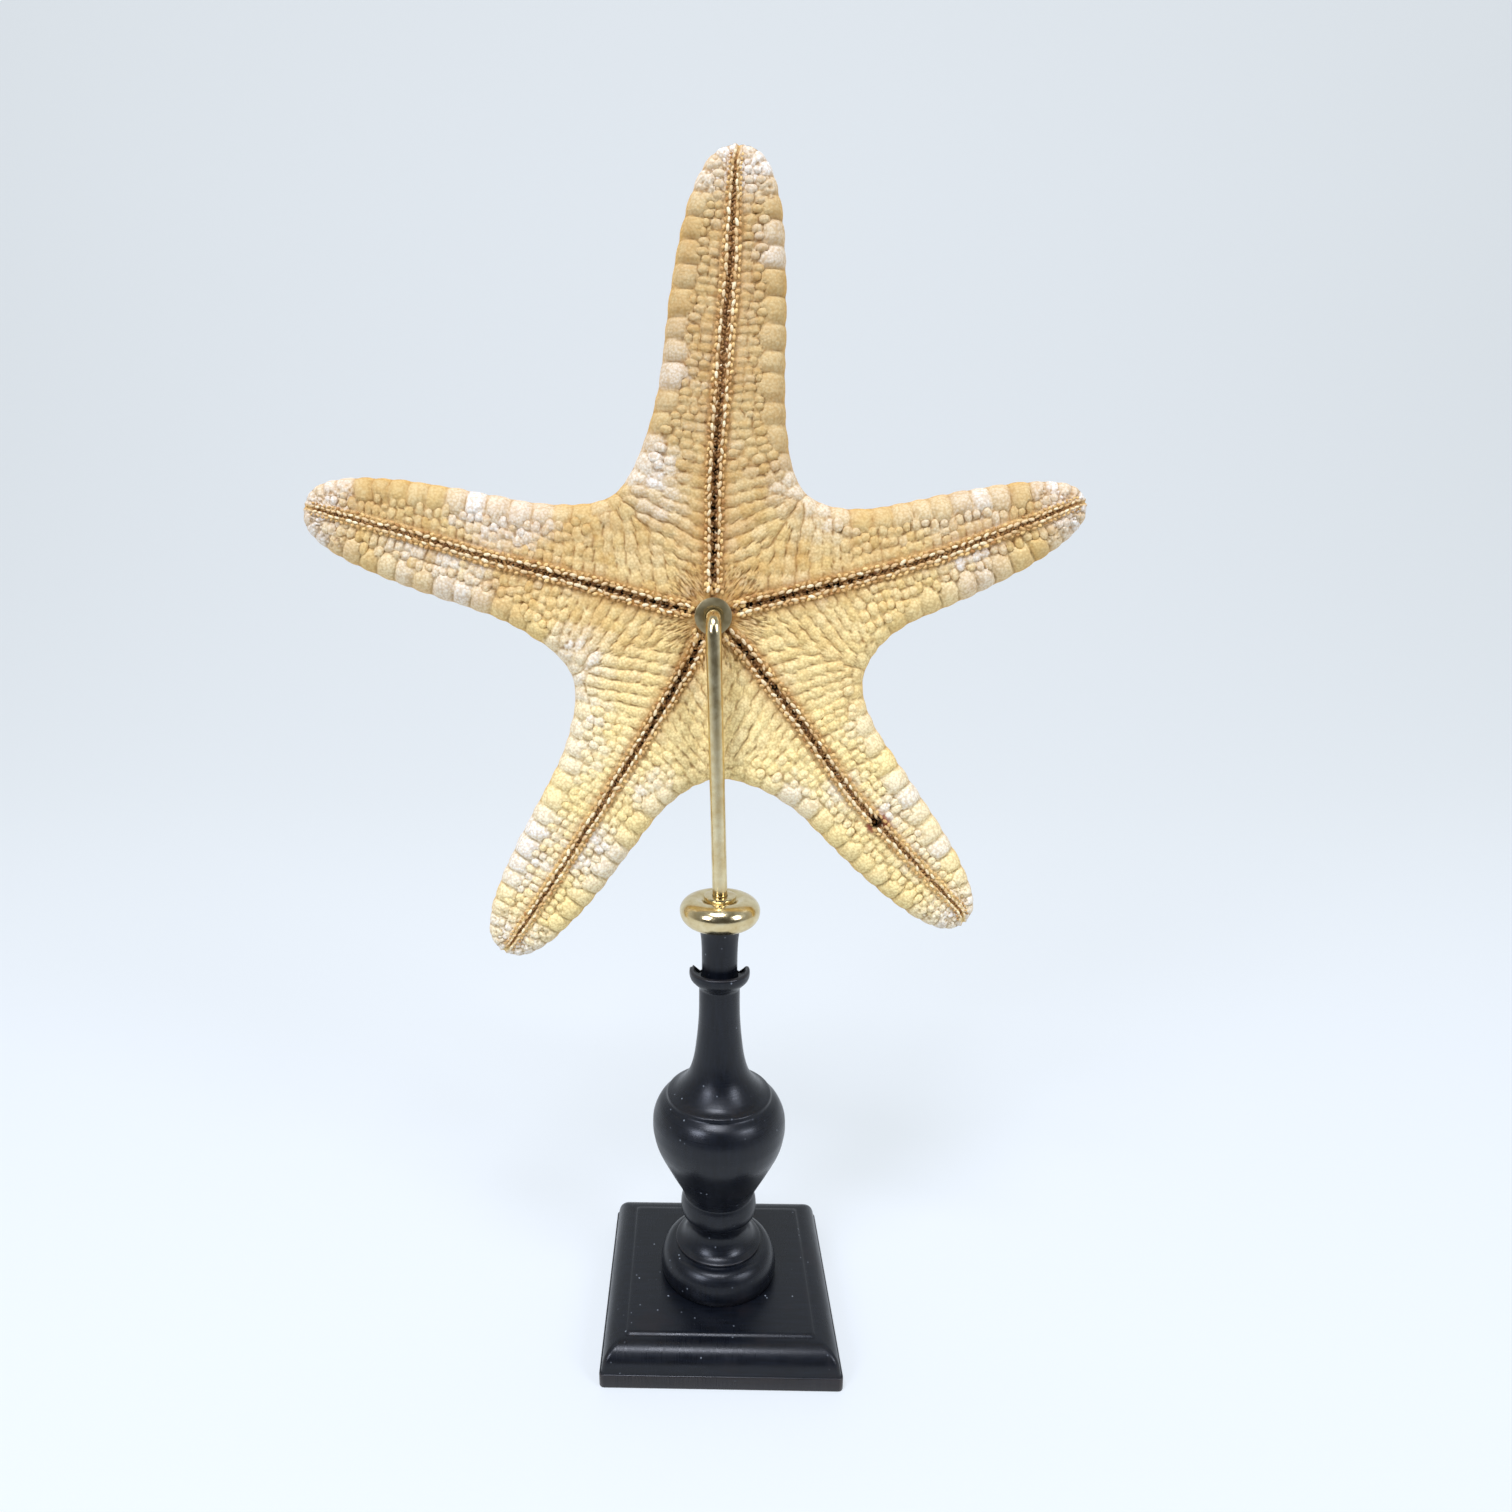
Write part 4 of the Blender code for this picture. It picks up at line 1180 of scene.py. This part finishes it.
pale = bleached(skin_flat) * np.where(on_back, 0.45, 1.0)
whiteness = clamped(0.8 * plates[own, CHALK] * (0.35 + 0.65 * pillow) + 0.2 * pale) * in_field
near_groove = np.exp(-((np.clip(from_groove - 1.0, 0.0, None) / 2.4) ** 2)) * grooved
from_seat = np.clip(skin_middle_distance - 8.0, 0.0, None)
around_mouth = np.exp(-((from_seat / 6.0) ** 2)) * ~on_back
plate_tone = draw.normal(0.0, 1.0, len(plates))
give(star_mesh, "whiteness", whiteness)
# Painted shade in the creases, stored for the material.
give(star_mesh, "painted_crease_shade", painted_crease_shade * in_field * np.where(plates[own, KIND] == EDGE_PLATE, 0.6, 0.85))
give(star_mesh, "tone", plate_tone[own])
stain = np.maximum(near_groove * np.clip(1.2 - skin_reach / 130.0, 0.25, 1.0), 0.8 * around_mouth)
give(star_mesh, "stain", np.maximum(stain, 0.95 * clamped(knob_rise / 1.6)))
groove_floor = clamped(groove_shape * 1.6) * grooved
give(star_mesh, "groove", groove_floor * clamped(middle_fade * 2))
# Painted shade: the pits and the hole are coloured near black where they sink.
give(star_mesh, "painted_pit_shade", clamped(np.maximum(pits * 1.3, hole * 1.5)))
give(star_mesh, "bruise", clamped(np.exp(-((hole_away - 3.0) / 1.6) ** 2)))
rim_side = clamped((skin_at[:, 1] - 4.5) / 3.0) * np.exp(-(((skin_at[:, 1] - 8.5) / 4.0) ** 2))
rim_front = 0.85 * np.exp(-((skin_edge / 1.3) ** 2)) * ~on_back
give(star_mesh, "rim", np.maximum(rim_side, rim_front))

# Dried starfish skin is limy and granular. To the eye it is sandy gold and quite matt, golden brown beside the
# grooves and, as painted shade, in its creases, with chalky white plates and a fine grain. Painted shade turns
# its pits and hole near black and darkens it towards the top, and painted light makes it paler gold lower
# down.
skin, skin_nodes, skin_shader = new_material("dried starfish skin, limy and granular")
place = add_node(skin_nodes, "ShaderNodeTexCoord").outputs["Object"]
per_mm = 1.0 / MM
# Broad bleaching over centimetres, mottling of some 4 mm, powder under a millimetre and single granules.
sources = {"height": add_node(skin_nodes, "ShaderNodeSeparateXYZ", _0=place).outputs["Z"]}
for name, scale, detail, roughness in (
    ("broad", 0.045, 2.0, 0.6),
    ("mottle", 0.28, 3.0, 0.65),
    ("powder", 1.6, 2.0, 0.7),
):
    noise = add_node(skin_nodes, "ShaderNodeTexNoise", Vector=place, Scale=scale * per_mm, Detail=detail)
    noise.inputs["Roughness"].default_value = roughness
    sources[name] = noise.outputs["Fac"]
granules = add_node(skin_nodes, "ShaderNodeTexVoronoi", {"feature": "F1"}, Vector=place, Scale=1.15 * per_mm)
sources["granules"] = granules.outputs["Distance"]
for name in ("tone", "rim", "stain", "whiteness", "painted_crease_shade", "groove", "bruise", "painted_pit_shade"):
    sources[name] = add_node(skin_nodes, "ShaderNodeAttribute", {"attribute_name": name}).outputs["Fac"]
SKIN_SHARES = (  # name, what it follows, from where to where there, and from how much to how much here
    ("sandy", "broad", 0.36, 0.64, 0.0, 1.0),
    ("light mottle", "mottle", 0.42, 0.72, 0.0, 0.75),
    ("pale plates", "tone", -1.6, 1.6, 0.0, 0.30),
    ("dark plates", "tone", 0.4, -2.2, 0.0, 0.30),
    # Painted light and shade by height: paler gold towards the bottom, darker towards the top.
    ("painted light low down", "height", 0.275, 0.195, 0.0, 0.8),  # metres above the table
    ("painted shade up top", "height", 0.235, 0.315, 0.0, 0.52),
    ("rim", "rim", 0.0, 1.0, 0.0, 0.55),
    ("stain patches", "mottle", 0.3, 0.62, 0.5, 0.95),
    ("powder on white", "powder", 0.3, 0.6, 0.6, 1.0),
    ("granule edges", "granules", 0.3, 0.8, 0.0, 0.42),
    # Painted shade in the creases between plates.
    ("painted_crease_shade", "painted_crease_shade", 0.0, 1.0, 0.0, 0.82),
    ("floor crumbs", "powder", 0.35, 0.65, 0.0, 1.0),
    ("groove", "groove", 0.0, 1.0, 0.0, 1.0),
    ("bruise patches", "mottle", 0.35, 0.6, 0.0, 1.0),
    ("painted_pit_shade", "painted_pit_shade", 0.0, 1.0, 0.0, 1.0),
    ("roughness", "powder", 0.3, 0.7, 0.68, 0.92),
)
shares = {}
for name, source, low, high, to_low, to_high in SKIN_SHARES:
    spread = add_node(
        skin_nodes,
        "ShaderNodeMapRange",
        {"interpolation_type": "SMOOTHSTEP"},
        Value=sources[source],
        From_Min=low,
        From_Max=high,
        To_Min=to_low,
        To_Max=to_high,
    )
    shares[name] = spread.outputs["Result"]
for name, first, second in (
    ("stain", sources["stain"], shares["stain patches"]),
    ("white", sources["whiteness"], shares["powder on white"]),
    ("bruise", sources["bruise"], shares["bruise patches"]),
):
    product = add_node(skin_nodes, "ShaderNodeMath", {"operation": "MULTIPLY"}, _0=first, _1=second)
    shares[name] = product.outputs["Value"]
floor_colour = add_node(
    skin_nodes,
    "ShaderNodeMix",
    {"data_type": "RGBA"},
    _0=shares["floor crumbs"],
    _6=linear("80542a"),
    _7=linear("c09258"),
)
SKIN_LAYERS = (  # each colour laid over those before it, from the bare skin to the pits
    ("sandy", linear("edcb80")),
    ("light mottle", linear("f2d796")),
    ("pale plates", linear("f3e1b2")),
    ("dark plates", linear("c9a76a")),
    # Painted light on the lower arms, then painted shade on the upper part of the star.
    ("painted light low down", linear("ffeaa6")),
    ("painted shade up top", linear("a68b64")),
    ("rim", linear("dfa84a")),
    ("stain", linear("a8712f")),
    ("white", linear("efeae0")),
    ("granule edges", linear("b0843f")),
    # Painted shade: dark golden brown in the creases.
    ("painted_crease_shade", linear("8e6029")),
    ("groove", floor_colour.outputs["Result"]),
    ("bruise", linear("8e4a31")),
    # Painted shade in the pits and the hole.
    ("painted_pit_shade", linear("150d08")),
)
body = linear("daac60")
for name, colour in SKIN_LAYERS:
    layer = add_node(skin_nodes, "ShaderNodeMix", {"data_type": "RGBA"}, _0=shares[name], _6=body, _7=colour)
    body = layer.outputs["Result"]
skin_nodes.links.new(body, skin_shader.inputs["Base Color"])
skin_nodes.links.new(shares["roughness"], skin_shader.inputs["Roughness"])
skin_shader.inputs["Specular IOR Level"].default_value = 0.35
grain_height = add_node(
    skin_nodes,
    "ShaderNodeMath",
    {"operation": "MULTIPLY_ADD"},
    _0=sources["powder"],
    _1=0.7,
    _2=sources["granules"],
)
grain_bump = add_node(
    skin_nodes,
    "ShaderNodeBump",
    {"invert": True},
    Strength=0.6,
    Distance=0.26 * MM,
    Height=grain_height.outputs["Value"],
)
skin_nodes.links.new(grain_bump.outputs["Normal"], skin_shader.inputs["Normal"])
star_mesh.materials.append(skin)
stand_up = Matrix.Translation(Vector(MOUTH * MM)) @ Matrix.Rotation(-STAR_TILT, 4, "X") @ Matrix.Scale(MM, 4)
star_mesh.transform(stand_up)
cad_low, cad_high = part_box("starfish")
box_held = np.empty(len(star_mesh.vertices) * 3)
star_mesh.vertices.foreach_get("co", box_held)
box_held = np.clip(box_held.reshape(-1, 3), np.array(cad_low), np.array(cad_high))
star_mesh.vertices.foreach_set("co", box_held.ravel())
star_mesh.shade_smooth()
star_mesh.update()
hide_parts("starfish")
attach(star, "root")


# Grains beside the grooves. Short cream spines lie end to end along both lips of each groove like rice, small
# tan beads stand in a row outside them, and crumbs of dried feet fill the groove. Round cobbles pave the arms
# between the groove and the edge plates. Each kind is one joined mesh of small balls sunk into the skin.


def round_pattern(segments, rings):
    """Points and faces of a small ball, which is copied for every grain of its kind."""
    bpy.ops.object.select_all(action="DESELECT")
    bpy.ops.mesh.primitive_uv_sphere_add(segments=segments, ring_count=rings, radius=1.0, location=(0, 0, 0))
    ball = bpy.context.object
    points = np.array([vertex.co[:] for vertex in ball.data.vertices])
    faces = [tuple(face.vertices) for face in ball.data.polygons]
    bpy.data.objects.remove(ball, do_unlink=True)
    return points, faces


def lay_grains(name, pattern, grains, look):
    """Joins copies of one grain. Each has its place, long axis, outward direction, half sizes and tone."""
    grain_points, grain_faces = pattern
    points = []
    faces = []
    tones = []
    for grain_place, long_axis, outward, half_length, half_width, half_height, tone in grains:
        first = len(points) * len(grain_points)
        side_axis = np.cross(outward, long_axis)
        side_axis /= max(np.linalg.norm(side_axis), 0.001)
        up_axis = np.cross(long_axis, side_axis)
        frame_axes = np.array((side_axis * half_width, up_axis * half_height, long_axis * half_length))
        points.append(grain_points @ frame_axes + grain_place)
        faces += [tuple(first + corner for corner in face) for face in grain_faces]
        tones += [tone] * len(grain_points)
    joined = bpy.data.meshes.new(name)
    joined.from_pydata(np.concatenate(points).tolist(), [], faces)
    give(joined, "tone", tones)
    joined.transform(stand_up)
    joined.materials.append(look)
    joined.shade_smooth()
    piece = bpy.data.objects.new(name, joined)
    bpy.context.scene.collection.objects.link(piece)
    bpy.ops.object.select_all(action="DESELECT")
    piece.select_set(True)
    bpy.context.view_layer.objects.active = piece
    bpy.ops.object.mode_set(mode="EDIT")
    bpy.ops.mesh.select_all(action="SELECT")
    bpy.ops.mesh.normals_make_consistent(inside=False)
    bpy.ops.object.mode_set(mode="OBJECT")
    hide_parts("starfish")
    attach(piece, "root")
    return piece


def grain_row(start, step, aside_of, half_length, half_width, lift, turn_spread, end_left=3.0):
    """Grains along both sides of every groove, each turned a little its own way."""
    grains = []
    for arm in range(5):
        along, across = arm_frame(arm)
        length = ARMS[arm][1]
        for side in (-1, 1):
            reach = start * draw.uniform(0.9, 1.1)
            while reach < length - end_left:
                small = min(1.0, 0.55 + (length - reach) / 60.0)
                aside = aside_of(arm, reach) + draw.normal(0.0, 0.13)
                offset = side * aside + float(middle_offset(arm, reach))
                flat = along * reach + across * offset
                _, number, _ = skin_tree.find((flat[0], 0.0, flat[1]))
                outward = skin_out[number]
                turn = draw.normal(0.0, turn_spread)
                tip_up = draw.normal(0.0, 0.10)
                direction = along * math.cos(turn) + across * side * math.sin(turn)
                flat_axis = np.array((direction[0], 0.0, direction[1]))
                long_axis = flat_axis * math.cos(tip_up) + outward * math.sin(tip_up)
                long_axis /= np.linalg.norm(long_axis)
                at = np.array((flat[0], moved[number][1], flat[1])) + outward * lift * small
                size = small * draw.uniform(0.82, 1.15)
                half = half_width * size
                grains.append((at, long_axis, outward, half_length * size, half, half, draw.normal()))
                reach += step * small * draw.uniform(0.88, 1.15)
    return grains


def grain_look(name, pale, dark, roughness):
    """A dry limy grain: its own tone between two colours, with a little powder on it."""
    made, tree, shader = new_material(name)
    place = add_node(tree, "ShaderNodeTexCoord").outputs["Object"]
    tone = add_node(tree, "ShaderNodeAttribute", {"attribute_name": "tone"}).outputs["Fac"]
    dust = add_node(tree, "ShaderNodeTexNoise", Vector=place, Scale=1.3 / MM, Detail=3.0).outputs["Fac"]
    share = add_node(tree, "ShaderNodeMapRange", Value=tone, From_Min=-1.6, From_Max=1.6).outputs["Result"]
    mixed = add_node(tree, "ShaderNodeMix", {"data_type": "RGBA"}, _0=share, _6=linear(dark), _7=linear(pale))
    powder_share = add_node(tree, "ShaderNodeMapRange", Value=dust, From_Min=0.52, From_Max=0.85)
    powdered = add_node(
        tree,
        "ShaderNodeMix",
        {"data_type": "RGBA"},
        _0=powder_share.outputs["Result"],
        _6=mixed.outputs["Result"],
        _7=linear("b88746"),
    )
    tree.links.new(powdered.outputs["Result"], shader.inputs["Base Color"])
    rough = add_node(tree, "ShaderNodeMapRange", Value=dust, To_Min=roughness, To_Max=roughness + 0.25)
    tree.links.new(rough.outputs["Result"], shader.inputs["Roughness"])
    return made


spine_look = grain_look("limy groove spines, cream", "fbeabf", "cda468", 0.4)
bead_look = grain_look("limy beads, stained tan", "efca84", "ad7b40", 0.45)
crumb_look = grain_look("dried tube feet, brown", "c89a5c", "7d5228", 0.55)
small_ball = round_pattern(6, 4)
spines = grain_row(
    start=8.2,
    step=2.5,
    aside_of=lambda arm, reach: groove_half(arm, reach) + 0.35,
    half_length=1.2,
    half_width=0.62,
    lift=0.5,
    turn_spread=0.26,
)
inner_spines = grain_row(
    start=9.4,
    step=3.8,
    aside_of=lambda arm, reach: groove_half(arm, reach) - 0.35,
    half_length=0.9,
    half_width=0.36,
    lift=0.0,
    turn_spread=0.6,
    end_left=12.0,
)
lay_grains("groove_spines", small_ball, spines + inner_spines, spine_look)
beads = grain_row(
    start=8.8,
    step=1.95,
    aside_of=lambda arm, reach: groove_half(arm, reach) + 1.35,
    half_length=0.85,
    half_width=0.6,
    lift=0.38,
    turn_spread=0.6,
)
for arm in range(5):  # and twelve more crowd round the mouth at the foot of each groove
    along, across = arm_frame(arm)
    for _ in range(12):
        reach = draw.uniform(7.0, 10.5)
        flat = along * reach + across * draw.uniform(-2.6, 2.6)
        number = skin_tree.find((flat[0], 0.0, flat[1]))[1]
        outward = skin_out[number]
        size = draw.uniform(0.5, 0.85)
        at = np.array((flat[0], moved[number][1], flat[1])) + outward * 0.35
        bead_axis = np.array((along[0], 0.0, along[1]))
        beads.append((at, bead_axis, outward, size * 1.25, size, size, draw.normal() + 1.0))
lay_grains("outer_groove_beads", small_ball, beads, bead_look)
crumbs = grain_row(
    start=8.0,
    step=1.5,
    aside_of=lambda arm, reach: 0.45 * groove_half(arm, reach),
    half_length=0.7,
    half_width=0.45,
    lift=0.35,
    turn_spread=1.2,
    end_left=8.0,
)
lay_grains("groove_crumbs", small_ball, crumbs, crumb_look)

COBBLE_RISE = 1.0
COBBLES_FROM = 46.0  # reach past which a ridge's plates stand apart as round cobbles
plate_reach = arm_place(plates[:, (0, 2)])[1]
cobbles = np.flatnonzero((plates[:, KIND] == COBBLE) & (plate_reach > COBBLES_FROM))
round_cobbles = []
for row in plates[cobbles]:
    at = row[0:3] - row[6:9] * 0.30
    half_length = row[HALF_LENGTH] * 0.98
    half_width = row[HALF_BREADTH] * 1.02
    round_cobbles.append((at, row[3:6], row[6:9], half_length, half_width, COBBLE_RISE * row[HEIGHT], 0.0))
cobble_ball = round_pattern(8, 6)
cobble_mesh = lay_grains("arm_cobbles", cobble_ball, round_cobbles, skin).data
corner_count = len(cobble_ball[0])
# Painted shade: the sunk lower part of each cobble is darkened like a crease.
sunk_painted_shade = np.tile(clamped((0.45 - cobble_ball[0][:, 1]) / 0.6), len(cobbles))
give(cobble_mesh, "painted_crease_shade", 0.6 * sunk_painted_shade)
give(cobble_mesh, "whiteness", np.repeat(0.9 * plates[cobbles, CHALK], corner_count))
cobble_tones = np.repeat(plate_tone[cobbles], corner_count).astype(np.float32)
cobble_mesh.attributes["tone"].data.foreach_set("value", cobble_tones)
